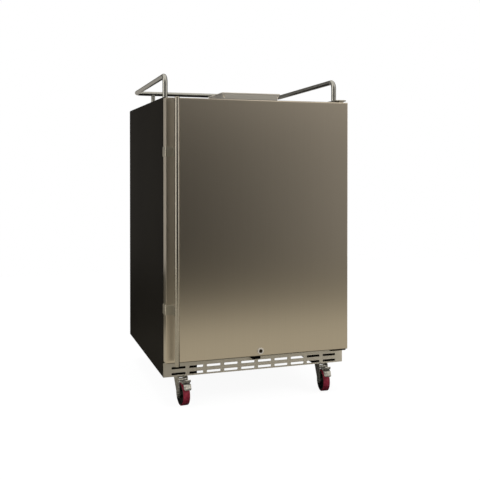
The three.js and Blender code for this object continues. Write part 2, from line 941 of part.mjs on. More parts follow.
// Chassis: a pan-shaped bracket behind each end of the kick plate, and the compressor's base across the back.
function frontBracket(side) {
  const outer = side * skinInside;
  const inner = side * (skinInside - frontBracketWidth);
  const [x0, x1] = [Math.min(outer, inner), Math.max(outer, inner)];
  const back = frontBracketDepth;
  const top = floorLevel - seat;
  const kickLipFoot = top - sheet - seat;
  return block(x0, x1, 0, back, chassisLevel, top)
    .subtract(
      block(
        x0 + bracketSheet,
        x1 - bracketSheet,
        bracketSheet,
        back - bracketSheet,
        chassisLevel + bracketSheet,
        top + overrun,
      ),
    )
    .subtract(block(x0 - overrun, x1 + overrun, -overrun, kickLip + seat, kickLipFoot, top + overrun));
}

function compressorBase() {
  const front = bayFront - baseFlangeLead;
  const back = bodyDepth - bayClearance;
  const top = floorLevel - seat;
  const profile = outline([
    [front, chassisLevel],
    [back, chassisLevel],
    [back, chassisLevel + baseRearLip],
    [back - bracketSheet, chassisLevel + baseRearLip],
    [back - bracketSheet, chassisLevel + bracketSheet],
    [front + bracketSheet, chassisLevel + bracketSheet],
    [front + bracketSheet, top],
    [front, top],
  ]);
  return raise(profile, "x", -skinInside, skinInside).subtract(
    bar("y", -glandLeft, glandLevel, glandRadius - glandGroove, back - overrun, back + overrun),
  );
}

// Grommet in the base's rear lip, where the supply lead enters.
const glandLevel = chassisLevel + (baseRearLip + bracketSheet) / 2;
function cordGland() {
  const middle = bodyDepth - bayClearance - bracketSheet / 2;
  const [front, back] = [middle - glandLength / 2, bodyDepth - seat];
  const neck = glandRadius - glandGroove - seat;
  const lipHalf = bracketSheet / 2 + seat;
  const profile = [
    [glandBore, front],
    [glandRadius, front],
    [glandRadius, middle - lipHalf],
    [neck, middle - lipHalf],
    [neck, middle + lipHalf],
    [glandRadius, middle + lipHalf],
    [glandRadius, back],
    [glandBore, back],
    [glandBore, front],
  ];
  return revolve(profile, "y", -glandLeft, glandLevel, roundSteps);
}

// Kick plate: a channel across the whole front with two rows of open slots.
function kickGrille() {
  const [front, back] = [-seat - sheet, -seat];
  const top = floorLevel - seat;
  const channel = outline([
    [front, baseLevel],
    [kickLip, baseLevel],
    [kickLip, baseLevel + sheet],
    [back, baseLevel + sheet],
    [back, top - sheet],
    [kickLip, top - sheet],
    [kickLip, top],
    [front, top],
  ]);
  const face = raise(rectangle(-halfWidth, baseLevel, halfWidth, top), "y", front, back);
  let grille = raise(channel, "x", -skinInside, skinInside).add(face);
  const pitch = (bodyWidth - 2 * slotMargin) / slotCount;
  const length = pitch - slotBridge;
  for (let row = 0; row < slotRows; row += 1) {
    const z = baseLevel + slotFoot + row * (slotHeight + slotRowBridge);
    for (let i = 0; i < slotCount; i += 1) {
      const x = slotMargin - halfWidth + pitch * (i + 0.5);
      const slot = rectangle(x - length / 2, z, x + length / 2, z + slotHeight, slotCornerRadius);
      grille = grille.subtract(raise(slot, "y", front - overrun, back + sheet / 2));
    }
  }
  return grille;
}

// Hinge plates, each with a collar under the door's weight and a pin into the door.
function hingeNoseOutline(left, back, cornerRadius) {
  return outline([
    [left, hingeY - hingeNose, cornerRadius],
    [halfWidth - seat, hingeY - hingeNose, cornerRadius],
    [halfWidth - seat, back],
    [left, back],
  ]);
}

function topHinge() {
  const bottom = topLevel + seat;
  const left = halfWidth - topHingeWidth;
  const middle = bottom + hingePlate / 2;
  const railX = halfWidth - railInset;
  const railHole = railRadius + seat;
  return raise(hingeNoseOutline(left, topHingeTail, hingeNose / 2), "z", bottom, bottom + hingePlate)
    .subtract(bar("z", railX, railFrontSetback, railHole, bottom - overrun, bottom + overrun, fineSteps))
    .add(bar("z", hingeX, hingeY, hingePinRadius + hingeCollarWidth, doorTop + seat, middle))
    .add(bar("z", hingeX, hingeY, hingePinRadius, doorTop - hingePinReach, middle));
}

function bottomHinge() {
  const top = doorBottom - seat - hingePlate / 2;
  const bottom = top - hingePlate;
  const middle = bottom + hingePlate / 2;
  const left = halfWidth - bottomHingeWidth;
  const flangeRight = left + hingeFlangeWidth;
  return raise(hingeNoseOutline(left, -seat, hingeNose / 2), "z", bottom, top)
    .add(block(left, flangeRight, -seat - strikeSheet, -seat, bottom, bottom + hingeFlangeHeight))
    .add(bar("z", hingeX, hingeY, hingePinRadius + hingeCollarWidth, middle, doorBottom - seat))
    .add(bar("z", hingeX, hingeY, hingePinRadius, middle, doorBottom + hingePinReach));
}

// Strike under the door: a tab on the cabinet whose lip stands in front of the lock's cam.
const camFront = doorFace + lockBarrelDepth + seat;
function lockStrike() {
  const lipBack = camFront - seat - strikeSheet / 2;
  const lipFront = lipBack - strikeSheet;
  const low = floorLevel - strikeDrop;
  const back = -seat - sheet - seat;
  const flangeTop = doorBottom + hingeInset - seat - 2 * strikeSheet;
  const profile = outline([
    [back, low],
    [back, flangeTop],
    [back - strikeSheet, flangeTop],
    [back - strikeSheet, low + strikeSheet],
    [lipBack, low + strikeSheet],
    [lipBack, low + strikeLipHeight],
    [lipFront, low + strikeLipHeight],
    [lipFront, low],
  ]);
  const taper = outline([
    [-strikeLeft + strikeTaper, low - overrun],
    [strikeRight - strikeTaper / 2, low - overrun],
    [strikeRight, low + strikeLipHeight],
    [strikeRight, flangeTop + overrun],
    [-strikeLeft, flangeTop + overrun],
    [-strikeLeft, low + strikeLipHeight],
  ]);
  return raise(profile, "x", -strikeLeft, strikeRight).intersect(
    raise(taper, "y", lipFront - overrun, overrun),
  );
}

// Guard rail: one bent tube over the sides and the back, with two more legs under the back run.
function guardRail() {
  const x = halfWidth - railInset;
  const foot = topLevel + seat;
  const level = topLevel + railHeight;
  const front = railFrontSetback;
  const back = bodyDepth - railBackSetback;
  const corners = [
    new THREE.Vector3(-x, front, foot),
    new THREE.Vector3(-x, front, level),
    new THREE.Vector3(-x, back, level),
    new THREE.Vector3(x, back, level),
    new THREE.Vector3(x, front, level),
    new THREE.Vector3(x, front, foot),
  ];
  const legX = halfWidth - railBackLegInset;
  return tube(corners, railRadius, railBend, railSides)
    .add(bar("z", -legX, back, railLegRadius, foot, level))
    .add(bar("z", legX, back, railLegRadius, foot, level));
}

// Plug in the tap tower hole.
function towerHolePlug() {
  const bottom = topLevel + seat;
  return revolve(
    [
      [0, bottom - plugSkirtDepth],
      [towerHoleRadius - seat, bottom - plugSkirtDepth],
      [towerHoleRadius - seat, bottom],
      [plugCapRadius, bottom],
      [plugCapRadius, bottom + plugCapThickness / 2],
      [plugCapRadius - plugCapThickness, bottom + plugCapThickness],
      [0, bottom + plugCapThickness],
    ],
    "z",
    0,
    towerSetback,
  );
}

// Drip tray: flared walls with a folded rim, open at the two front corners of its side walls.
const trayFloor = topLevel + seat;
const trayTop = trayFloor + trayHeight;
function trayRing(margin, z) {
  const share = (z - trayFloor) / trayHeight;
  const flare = trayFlare * (1 - share);
  return levelRing(
    -trayWidth / 2 + flare - margin,
    trayWidth / 2 - flare + margin,
    traySetback + flare - margin,
    trayBack - flare + margin,
    z,
  );
}
function dripTray() {
  const rimTop = trayTop - trayRim;
  const outer = loft([trayRing(0, trayFloor), trayRing(0, trayTop)]);
  const inner = loft([
    trayRing(-traySheet, trayFloor + traySheet),
    trayRing(-traySheet, trayTop + traySheet),
  ]);
  const half = trayWidth / 2;
  const rim = block(-half, half, traySetback, trayBack, rimTop, trayTop).subtract(
    block(
      -half + trayRim,
      half - trayRim,
      traySetback + trayRim,
      trayBack - trayRim,
      rimTop - overrun,
      trayTop + overrun,
    ),
  );
  let tray = outer.add(rim).subtract(inner);
  for (const side of [-1, 1]) {
    const [innerX, outerX] = [side * (half - trayFlare), side * (half + overrun)];
    const notchFront = traySetback + trayRim;
    tray = tray.subtract(
      block(
        Math.min(innerX, outerX),
        Math.max(innerX, outerX),
        notchFront,
        notchFront + trayNotch,
        trayTop - trayNotchDepth,
        trayTop + overrun,
      ),
    );
  }
  return tray;
}

// Slotted grid that stands in the tray on two folded edges.
function dripGrid() {
  const floor = trayFloor + traySheet + seat;
  const top = trayTop - gridDrop;
  const half = trayWidth / 2 - trayFlare - traySheet - gridGap;
  const [front, back] = [
    traySetback + trayFlare + traySheet + gridGap,
    trayBack - trayFlare - traySheet - gridGap,
  ];
  const profile = outline([
    [front, floor],
    [front, top],
    [back, top],
    [back, floor],
    [back - gridSheet, floor],
    [back - gridSheet, top - gridSheet],
    [front + gridSheet, top - gridSheet],
    [front + gridSheet, floor],
  ]);
  let grid = raise(profile, "x", -half, half);
  const pitch = (2 * (half - gridSlotMargin)) / (gridSlotCount - 1);
  const rowDepth = (back - front - gridSlotMargin) / gridRows;
  for (let row = 0; row < gridRows; row += 1) {
    const y = front + gridSlotMargin + row * rowDepth;
    for (let i = 0; i < gridSlotCount; i += 1) {
      const x = gridSlotMargin - half + pitch * i;
      const slot = rectangle(
        x - gridSlotWidth / 2,
        y,
        x + gridSlotWidth / 2,
        y + rowDepth - gridSlotMargin,
        gridSlotWidth / 3,
      );
      grid = grid.subtract(raise(slot, "z", top - 2 * gridSheet, top + overrun));
    }
  }
  return grid;
}

// The door's outline seen from above, grown inwards by a margin, with round front edges.
function doorOutline(margin, back) {
  const half = halfWidth - margin;
  const front = doorFace + margin;
  const round = Math.max(doorEdgeRadius - margin, 0);
  return outline([
    [-half, back],
    [-half, front, round],
    [half, front, round],
    [half, back],
  ]);
}

// Steel pan that makes the door's front and edges.
function doorSkin() {
  return raise(doorOutline(0, doorBack), "z", doorBottom, doorTop)
    .subtract(
      raise(doorOutline(doorSheet, doorBack + overrun), "z", doorBottom + doorSheet, doorTop - doorSheet),
    )
    .subtract(hingeBores())
    .subtract(
      bar("y", 0, lockLevel, lockBarrelRadius + seat, doorFace - overrun, doorFace + overrun, fineSteps),
    )
    .subtract(camPocket());
}

function hingeBores() {
  const bore = hingePinRadius + seat;
  return bar("z", hingeX, hingeY, bore, doorBottom - overrun, doorBottom + hingePinReach + seat).add(
    bar("z", hingeX, hingeY, bore, doorTop - hingePinReach - seat, doorTop + overrun),
  );
}

// Space in the door for the lock's cam, open at the door's lower edge.
function camPocket() {
  const room = lockCamThickness / 2;
  return block(
    -lockBarrelRadius - seat,
    lockCamReach + room,
    camFront - room,
    camFront + lockCamThickness + room,
    doorBottom - overrun,
    lockLevel + lockBarrelRadius + seat,
  );
}

function doorCore() {
  const margin = doorSheet + seat;
  const back = doorBack - linerSheet - seat;
  return raise(doorOutline(margin, back), "z", doorBottom + margin, doorTop - margin)
    .subtract(hingeBores())
    .subtract(
      bar("y", 0, lockLevel, lockBarrelRadius + seat, doorFace - overrun, camFront, fineSteps),
    )
    .subtract(camPocket());
}

// Inner panel of the door, with a raised dike that reaches into the cavity.
function doorLiner() {
  const edge = doorSheet + seat;
  const half = halfWidth - edge;
  const panel = block(
    -half,
    half,
    doorBack - linerSheet,
    doorBack,
    doorBottom + edge,
    doorTop - edge,
  );
  const outerX = cavityHalf - dikeInset;
  const [low, high] = [cavityFloor + dikeInset, cavityTop - dikeInset];
  const ring = rectangle(-outerX, low, outerX, high, dikeWidth);
  const dike = raise(ring, "y", doorBack - seat, doorBack + dikeHeight);
  const hollow = raise(
    rectangle(-outerX + dikeWidth, low + dikeWidth, outerX - dikeWidth, high - dikeWidth, dikeWidth / 2),
    "y",
    doorBack - linerSheet / 2,
    doorBack + dikeHeight + overrun,
  );
  return panel.add(dike.subtract(hollow));
}

// Magnetic gasket: a base, a narrow neck and a magnet pad, all the way round the door.
function doorGasket() {
  const frame = (width, from, to) => {
    const margin = hingeInset + (gasketWidth - width) / 2;
    const half = halfWidth - margin;
    const [low, high] = [doorBottom + margin, doorTop - margin];
    return raise(rectangle(-half, low, half, high), "y", from, to).subtract(
      raise(
        rectangle(-half + width, low + width, half - width, high - width),
        "y",
        from - overrun,
        to + overrun,
      ),
    );
  };
  const base = doorBack + seat;
  return frame(gasketWidth, base, base + gasketPadThickness / 2)
    .add(frame(gasketNeckWidth, base, -seat - gasketPadThickness / 2))
    .add(frame(gasketWidth, -seat - gasketPadThickness, -seat));
}

// Upright handle tube with softened ends.
function handleTube() {
  const inner = handleRadius - handleEndRound;
  return revolve(
    [
      [0, doorBottom],
      [inner, doorBottom],
      [handleRadius, doorBottom + handleEndRound],
      [handleRadius, doorTop - handleEndRound],
      [inner, doorTop],
      [0, doorTop],
    ],
    "z",
    handleAxisX,
    handleAxisY,
  );
}

// Handle strap: hooked round the door's edge, along its face, and out to a saddle behind the tube.
function handleStrap(level) {
  const inX = -halfWidth - seat;
  const outX = inX - strapThickness;
  const inY = doorFace - seat;
  const outY = inY - strapThickness;
  const [postLeft, postRight] = [handleAxisX - strapPostWidth / 2, handleAxisX + strapPostWidth / 2];
  const profile = outline([
    [outX, doorFace + strapSideLeg],
    [outX, outY, strapThickness],
    [postLeft, outY],
    [postLeft, handleAxisY],
    [postRight, handleAxisY],
    [postRight, outY],
    [postRight + strapNose, outY],
    [postRight + strapNose, inY],
    [inX, inY],
    [inX, doorFace + strapSideLeg],
  ]);
  const [low, high] = [level - strapHeight / 2, level + strapHeight / 2];
  return raise(profile, "z", low, high).subtract(
    bar("z", handleAxisX, handleAxisY, handleRadius + seat, low - overrun, high + overrun, fineSteps),
  );
}

// Lock: a flanged barrel through the door's skin, and a plug with a key slot that turns the cam.
function lockBarrel() {
  const front = doorFace - seat - lockFlangeThickness;
  const flangeBack = doorFace - seat;
  const back = camFront - lockCamThickness;
  const bore = lockPlugRadius + seat;
  return revolve(
    [
      [bore, front],
      [lockFlangeRadius - seat, front],
      [lockFlangeRadius, front + lockFlangeThickness / 2],
      [lockFlangeRadius, flangeBack],
      [lockBarrelRadius, flangeBack],
      [lockBarrelRadius, back],
      [bore, back],
      [bore, front],
    ],
    "y",
    0,
    lockLevel,
  );
}

function lockPlug() {
  const front = doorFace - seat - lockFlangeThickness;
  const plug = bar("y", 0, lockLevel, lockPlugRadius, front, camFront + lockCamThickness / 2, fineSteps);
  const key = new THREE.BoxGeometry(keySlotWidth, 2 * keySlotDepth, keySlotLength);
  key.rotateY(keySlotTilt);
  key.translate(0, front, lockLevel);
  const cam = rectangle(
    -lockCamWidth / 2,
    lockLevel - lockCamWidth / 2,
    lockCamReach,
    lockLevel + lockCamWidth / 2,
    lockCamWidth / 3,
  );
  return plug.subtract(solid(key)).add(raise(cam, "y", camFront, camFront + lockCamThickness));
}

// An outline of even thickness along the line between two points, half a thickness longer at each end.
function strip([x0, y0], [x1, y1], thickness) {
  const along = new THREE.Vector2(x1 - x0, y1 - y0).setLength(thickness / 2);
  const across = new THREE.Vector2(-along.y, along.x);
  return outline([
    [x0 - along.x + across.x, y0 - along.y + across.y],
    [x0 - along.x - across.x, y0 - along.y - across.y],
    [x1 + along.x - across.x, y1 + along.y - across.y],
    [x1 + along.x + across.x, y1 + along.y + across.y],
  ]);
}

// Casters. Each function takes the swivel axis, and the wheel trails towards the front.
const bossFoot = baseLevel - casterBossHeight;
const forkTop = bossFoot - seat;
const forkFoot = forkTop - forkSheet;
const kingPinFoot = forkFoot - seat - kingPinHeadHeight;
const forkOutside = forkLegGap / 2 + forkSheet;

// Bolt-on plate with the swivel's boss, king pin and rivet head.
function casterPlate(x, y) {
  const [halfX, halfY] = [casterPlateWidth / 2, casterPlateDepth / 2];
  const profile = rectangle(x - halfX, y - halfY, x + halfX, y + halfY, casterPlateRound);
  return raise(profile, "z", baseLevel, baseLevel + casterPlateThickness)
    .add(bar("z", x, y, casterBossRadius, bossFoot, baseLevel + casterPlateThickness / 2))
    .add(bar("z", x, y, kingPinRadius, kingPinFoot, baseLevel))
    .add(bar("z", x, y, kingPinHead, kingPinFoot, kingPinFoot + kingPinHeadHeight));
}

// Fork: a round disc under the boss, two tapering legs and, on the front casters, the pedal's pin.
function casterFork(x, y, braked) {
  const axleY = y - wheelTrail;
  const leg = outline(
    [
      [y + forkTopReach, forkTop],
      [y - pedalPivotLead - pedalEarRadius, forkTop],
      [axleY - forkAxleRadius, wheelRadius - forkAxleRadius, forkAxleRadius],
      [axleY + forkAxleRadius, wheelRadius - forkAxleRadius, forkAxleRadius],
    ],
    bendSteps,
  );
  let fork = bar("z", x, y, forkDiscRadius, forkFoot, forkTop, fineSteps)
    .add(raise(leg, "x", x - forkOutside, x - forkLegGap / 2))
    .add(raise(leg, "x", x + forkLegGap / 2, x + forkOutside));
  if (braked) {
    const pinY = y - pedalPivotLead;
    fork = fork.add(
      bar("x", pinY, pedalPivotRise, pedalPinRadius, x - forkOutside, x + forkOutside, tubeSides),
    );
  }
  const reach = forkOutside + overrun;
  return fork
    .subtract(bar("z", x, y, kingPinRadius + seat, forkFoot - overrun, forkTop + overrun))
    .subtract(bar("x", axleY, wheelRadius, axleRadius + seat, x - reach, x + reach));
}

// Axle bolt with a hexagonal head and nut.
function casterAxle(x, y) {
  const axleY = y - wheelTrail;
  const half = forkOutside + seat;
  const end = half + axleHeadHeight;
  return bar("x", axleY, wheelRadius, axleRadius, x - end, x + end)
    .add(bar("x", axleY, wheelRadius, axleHeadRadius, x - end, x - half, hexSides))
    .add(bar("x", axleY, wheelRadius, axleHeadRadius, x + half, x + end, hexSides));
}

// Wheel core: rim, thin web and hub.
function casterCore(x, y) {
  const rim = wheelRadius - treadThickness - seat;
  const [rimHalf, webHalf, hubHalf] = [coreRimWidth / 2, coreWebWidth / 2, coreHubWidth / 2];
  const bore = axleRadius + seat;
  const side = (sign) => [
    [bore, sign * hubHalf],
    [coreHubRadius, sign * hubHalf],
    [coreHubRadius, sign * webHalf],
    [rim - coreRimThickness, sign * webHalf],
    [rim - coreRimThickness, sign * rimHalf],
    [rim, sign * rimHalf],
  ];
  const profile = [...side(-1), ...side(1).reverse(), [bore, -hubHalf]];
  return revolve(profile, "x", y - wheelTrail, wheelRadius, wheelSteps).translate(x, 0, 0);
}

// Coloured tread with a slight crown.
function casterTread(x, y) {
  const inner = wheelRadius - treadThickness;
  const half = treadWidth / 2;
  const crownHalf = half - treadCrown;
  const profile = [
    [inner, -half],
    [wheelRadius - treadCrown, -half],
    [wheelRadius, -crownHalf],
    [wheelRadius, crownHalf],
    [wheelRadius - treadCrown, half],
    [inner, half],
    [inner, -half],
  ];
  return revolve(profile, "x", y - wheelTrail, wheelRadius, wheelSteps).translate(x, 0, 0);
}

// Brake pedal: a rocking strap between the fork's legs, with an upper and a lower tab in front of the wheel.
function brakePedal(x, y) {
  const pivot = [y - pedalPivotLead, pedalPivotRise];
  const plate = [y - pedalPlateLead, pedalPivotRise - pedalPlateDrop];
  const upperTip = [plate[0] - pedalTabReach, plate[1] + pedalUpperTab];
  const lowerTip = [plate[0] - pedalTabReach, plate[1] - pedalLowerTab];
  const [from, to] = [x - pedalWidth / 2, x + pedalWidth / 2];
  return raise(strip(pivot, plate, pedalSheet), "x", from, to)
    .add(raise(strip(plate, upperTip, pedalSheet), "x", from, to))
    .add(raise(strip(plate, lowerTip, pedalSheet), "x", from, to))
    .add(bar("x", pivot[0], pivot[1], pedalHubRadius, from, to, tubeSides))
    .subtract(bar("x", pivot[0], pivot[1], pedalPinRadius + seat, from - overrun, to + overrun, tubeSides));
}

add("side_panel_left", sidePanel(-1), blackPaint);
add("side_panel_right", sidePanel(1), blackPaint);
add("top_panel", topPanel(), blackPaint);
add("back_panel", backPanel(), galvanised);
add("bottom_panel", bottomPanel(), blackPaint);
add("foam_core", foamCore(), foam);
add("inner_liner", innerLiner(), whitePlastic);
add("front_bracket_left", frontBracket(-1), blackPaint);
add("front_bracket_right", frontBracket(1), blackPaint);
add("compressor_base", compressorBase(), blackPaint);
add("kick_grille", kickGrille(), brushedSteel);
add("hinge_bracket_top", topHinge(), brushedSteel);
add("hinge_bracket_bottom", bottomHinge(), blackPaint);
add("lock_strike", lockStrike(), blackPaint);
add("guard_rail", guardRail(), polishedSteel);
add("tower_hole_plug", towerHolePlug(), blackPlastic);
add("drip_tray", dripTray(), brushedSteel);
add("drip_grid", dripGrid(), brushedSteel);
add("keg_floor_plate", kegFloorPlate(), galvanised);
add("fan_cover", fanCover(), whitePlastic);
add("evaporator_fan", evaporatorFan(), blackPlastic);
add("thermostat_housing", thermostatHousing(), whitePlastic);
add("thermostat_knob", thermostatKnob(), greyPlastic);
add("lamp_lens", lampLens(), clearLens);
add("compressor", compressor(), blackPaint);
add("drain_pan", drainPan(), greyPlastic);
add("condenser", condenser(), blackPaint);
add("refrigerant_line", refrigerantLine(), zincSteel);
add("cord_gland", cordGland(), blackRubber);
add("door_skin", doorSkin(), brushedSteel);
add("door_core", doorCore(), foam);
add("door_liner", doorLiner(), whitePlastic);
add("door_gasket", doorGasket(), gasketRubber);
add("handle_tube", handleTube(), polishedSteel);
add("handle_bracket_upper", handleStrap(doorTop - strapEnd), brushedSteel);
add("handle_bracket_lower", handleStrap(doorBottom + strapEnd), brushedSteel);
add("lock_barrel", lockBarrel(), zincSteel);
add("lock_plug", lockPlug(), zincSteel);

const frontCasterX = halfWidth - frontCasterInset;
const rearCasterX = halfWidth - rearCasterInset;
const rearCasterY = bodyDepth - rearCasterBackGap;
const casterPlaces = [
  ["front_left", -frontCasterX, frontCasterSetback, leftCasterTurn, true],
  ["front_right", frontCasterX, frontCasterSetback, rightCasterTurn, true],
  ["rear_left", -rearCasterX, rearCasterY, 0, false],
  ["rear_right", rearCasterX, rearCasterY, 0, false],
];
for (const [place, x, y, turn, braked] of casterPlaces) {
  const turned = (shape) => shape.translate(-x, -y, 0).rotate([0, 0, turn]).translate(x, y, 0);
  add(`caster_plate_${place}`, casterPlate(x, y), zincSteel);
  add(`caster_fork_${place}`, turned(casterFork(x, y, braked)), zincSteel);
  add(`caster_axle_${place}`, turned(casterAxle(x, y)), zincSteel);
  add(`caster_core_${place}`, turned(casterCore(x, y)), blackPlastic);
  add(`caster_tread_${place}`, turned(casterTread(x, y)), redTread);
  if (braked) add(`brake_pedal_${place}`, turned(brakePedal(x, y)), zincSteel);
}

// The part's middle depth, between the handle's front and the back of the cabinet, is moved to y = 0.
root.children.forEach((mesh) => mesh.geometry.translate(0, -(bodyDepth + handleAxisY - handleRadius) / 2, 0));

export default root;
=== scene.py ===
# Looks of the keg cooler: materials, smooth pieces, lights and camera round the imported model.
# Metres, in the model's own frame: X to the right, Y to the back, Z up, origin on the floor.
import json
import math

import bmesh
import bpy
from mathutils import Matrix, Vector

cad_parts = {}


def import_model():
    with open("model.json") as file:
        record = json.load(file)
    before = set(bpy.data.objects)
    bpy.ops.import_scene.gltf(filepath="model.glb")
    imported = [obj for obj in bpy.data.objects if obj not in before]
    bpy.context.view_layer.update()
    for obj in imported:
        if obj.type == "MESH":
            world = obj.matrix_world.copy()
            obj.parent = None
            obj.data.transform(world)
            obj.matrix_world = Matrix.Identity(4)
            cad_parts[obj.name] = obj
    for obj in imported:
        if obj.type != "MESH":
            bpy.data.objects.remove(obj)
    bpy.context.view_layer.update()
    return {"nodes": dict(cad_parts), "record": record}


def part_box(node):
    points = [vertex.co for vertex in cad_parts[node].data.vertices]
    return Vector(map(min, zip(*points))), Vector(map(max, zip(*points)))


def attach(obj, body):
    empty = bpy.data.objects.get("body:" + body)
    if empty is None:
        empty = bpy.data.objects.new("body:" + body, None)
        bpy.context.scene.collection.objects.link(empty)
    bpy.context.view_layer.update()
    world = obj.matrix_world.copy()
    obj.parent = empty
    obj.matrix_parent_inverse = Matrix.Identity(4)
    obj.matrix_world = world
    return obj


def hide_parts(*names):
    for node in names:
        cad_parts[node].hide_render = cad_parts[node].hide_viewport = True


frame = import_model()
joints = {row["name"]: row for row in frame["record"]["behaviour"]["joints"]}

MM = 0.001

# Camera, fitted to the photograph
CAMERA_X = -764.3 * MM
CAMERA_Y = -2442.6 * MM
CAMERA_Z = 740.2 * MM
CAMERA_TURN = math.radians(18.03)
CAMERA_DIP = math.radians(0.5)
SENSOR_WIDTH = 36.0
LENS = 54.71
SHIFT_UP = -0.1427

# Edges and smoothness
EDGE_ROUND = 0.8 * MM
FINE_EDGE_ROUND = 0.3 * MM
WELD_REACH = 0.01 * MM
SHARP_ANGLE = math.radians(38)
ROUND_SIDES = 40
WIRE_SIDES = 12
WHEEL_SIDES = 72
BEND_STEPS = 10
HEX_SIDES = 6
EDGE_STEPS = 2
CORNER_STEPS = 4
SLAB_EDGE_SHARE = 0.3

# Guard rail and handle
RAIL_RADIUS = 8 * MM
RAIL_LEG_RADIUS = 7.5 * MM
RAIL_BEND = 22 * MM
RAIL_BACK_DROP = 8 * MM
RAIL_BACK_LEG_INSET = 79 * MM
HANDLE_END_ROUND = 2 * MM

# Steel front of the door
DOOR_SHEET = 1 * MM
DOOR_SIDE_ROUND = 1.6 * MM
DOOR_TOP_ROUND = 3 * MM
DOOR_FOOT_ROUND = 5 * MM

# Caster wheels
AXLE_BORE = 4.3 * MM
WHEEL_HUB_RADIUS = 10 * MM
WHEEL_WEB_WIDTH = 9 * MM
WHEEL_RIM_DEPTH = 4 * MM
WHEEL_ROUND = 1 * MM
TREAD_WIDTH = 21.5 * MM
TREAD_THICKNESS = 2.5 * MM
TREAD_SHOULDER = 1.6 * MM
HUB_COVE = 1.5 * MM
CORE_WIDTH = 23 * MM
HUB_WIDTH = 24.6 * MM

# Swivel heads and brake pedals of the casters
RACEWAY_RADIUS = 22 * MM
RACEWAY_LIP = 2 * MM
RACEWAY_GAP = 0.4 * MM
PEDAL_REACH = 50 * MM
PEDAL_HALF_WIDTH = 11.8 * MM
PEDAL_SHEET = 2.2 * MM
PEDAL_PIN_RADIUS = 2.7 * MM
PEDAL_HUB_RADIUS = 5 * MM
PEDAL_BEND = 4 * MM
PEDAL_TIP_SHARE = 0.75
PEDAL_EDGE_STEPS = 6

# The pedal seen from the side, ahead of and above its pin in shares of its reach: the middle lines of
# its two tabs, and the outline of its cheeks
PEDAL_UPPER_SHARES = [(0, 0), (0.62, -0.03), (0.8, 0.02), (1, 0.204)]
PEDAL_LOWER_SHARES = [(0.54, -0.04), (0.86, -0.13), (0.92, -0.34), (1.04, -0.4)]
PEDAL_CHEEK_SHARES = [(0.08, 0), (0.68, -0.02), (0.68, -0.11), (0.44, -0.096), (0.12, -0.072)]

# Bolts under the caster plates
CASTER_PLATE = 3 * MM
BOLT_RADIUS = 4.2 * MM
BOLT_HEAD_HEIGHT = 2.6 * MM
BOLT_DOME = 0.8 * MM
BOLT_INSET = 9 * MM
WASHER_RADIUS = 5.6 * MM
WASHER_THICKNESS = 0.6 * MM

# Cooling unit
COMPRESSOR_RADIUS = 70 * MM
COMPRESSOR_SEAM = 2.2 * MM
COMPRESSOR_CROWN = 42 * MM
FOOT_RADIUS = 11 * MM
FOOT_INSET = 16 * MM
FOOT_HEIGHT = 14 * MM
FOOT_PLATE = 3 * MM
FOOT_PLATE_DEPTH = 112 * MM
FOOT_GROOVE_SHARE = 0.8
FOOT_GROOVE_HEIGHT_SHARES = (0.4, 0.5, 0.6)
POT_BASE_SHARE = 0.86
CROWN_STEPS = 10
PLATE_ROUND = 16 * MM
TERMINAL_DEPTH = 46 * MM
TERMINAL_HEIGHT = 62 * MM
TERMINAL_ROUND = 5 * MM
CONDENSER_TUBE = 2.5 * MM
CONDENSER_BEND = 20 * MM
CONDENSER_PASSES = 7
CONDENSER_PITCH = 72 * MM
WIRE_COUNT = 11
WIRE_RADIUS = 0.9 * MM
WIRE_TAIL = 16 * MM

# Door gasket: its width, how deep its bellows fold in, and where, in shares of its thickness from the
# door
GASKET_WIDTH = 12 * MM
GASKET_FOLD_IN = 4.2 * MM
GASKET_FOLD_OUT = 2.2 * MM
GASKET_FOLD_SHARES = (0.16, 0.26, 0.42, 0.58, 0.68)

# Depths of fine surface texture
POLISH_DEPTH = 0.02 * MM
ZINC_DEPTH = 0.03 * MM
SPANGLE_DEPTH = 0.02 * MM
PEEL_DEPTH = 0.06 * MM
MOULDED_DEPTH = 0.05 * MM
FOAM_CELL_DEPTH = 0.4 * MM
SCUFF_DEPTH = 0.05 * MM
LENS_RIB_DEPTH = 0.3 * MM

# Noise scales that draw fine streaks along an axis, and the shades of zinc crystals
STREAK_SCALES = {"X": (3.0, 1500.0, 1500.0), "Z": (1500.0, 1500.0, 3.0)}
SPANGLE_DARK = 0.82
SPANGLE_LIGHT = 1.0


def srgb(red, green, blue):
    """A colour given in 0-255 display values, as linear light with full alpha, by the sRGB formula."""
    linear = []
    for value in (red, green, blue):
        share = value / 255
        linear.append(share / 12.92 if share <= 0.04045 else ((share + 0.055) / 1.055) ** 2.4)
    return (*linear, 1.0)


def grey(level):
    """A grey of one level of linear light with full alpha, which is white at 1."""
    return (level, level, level, 1.0)


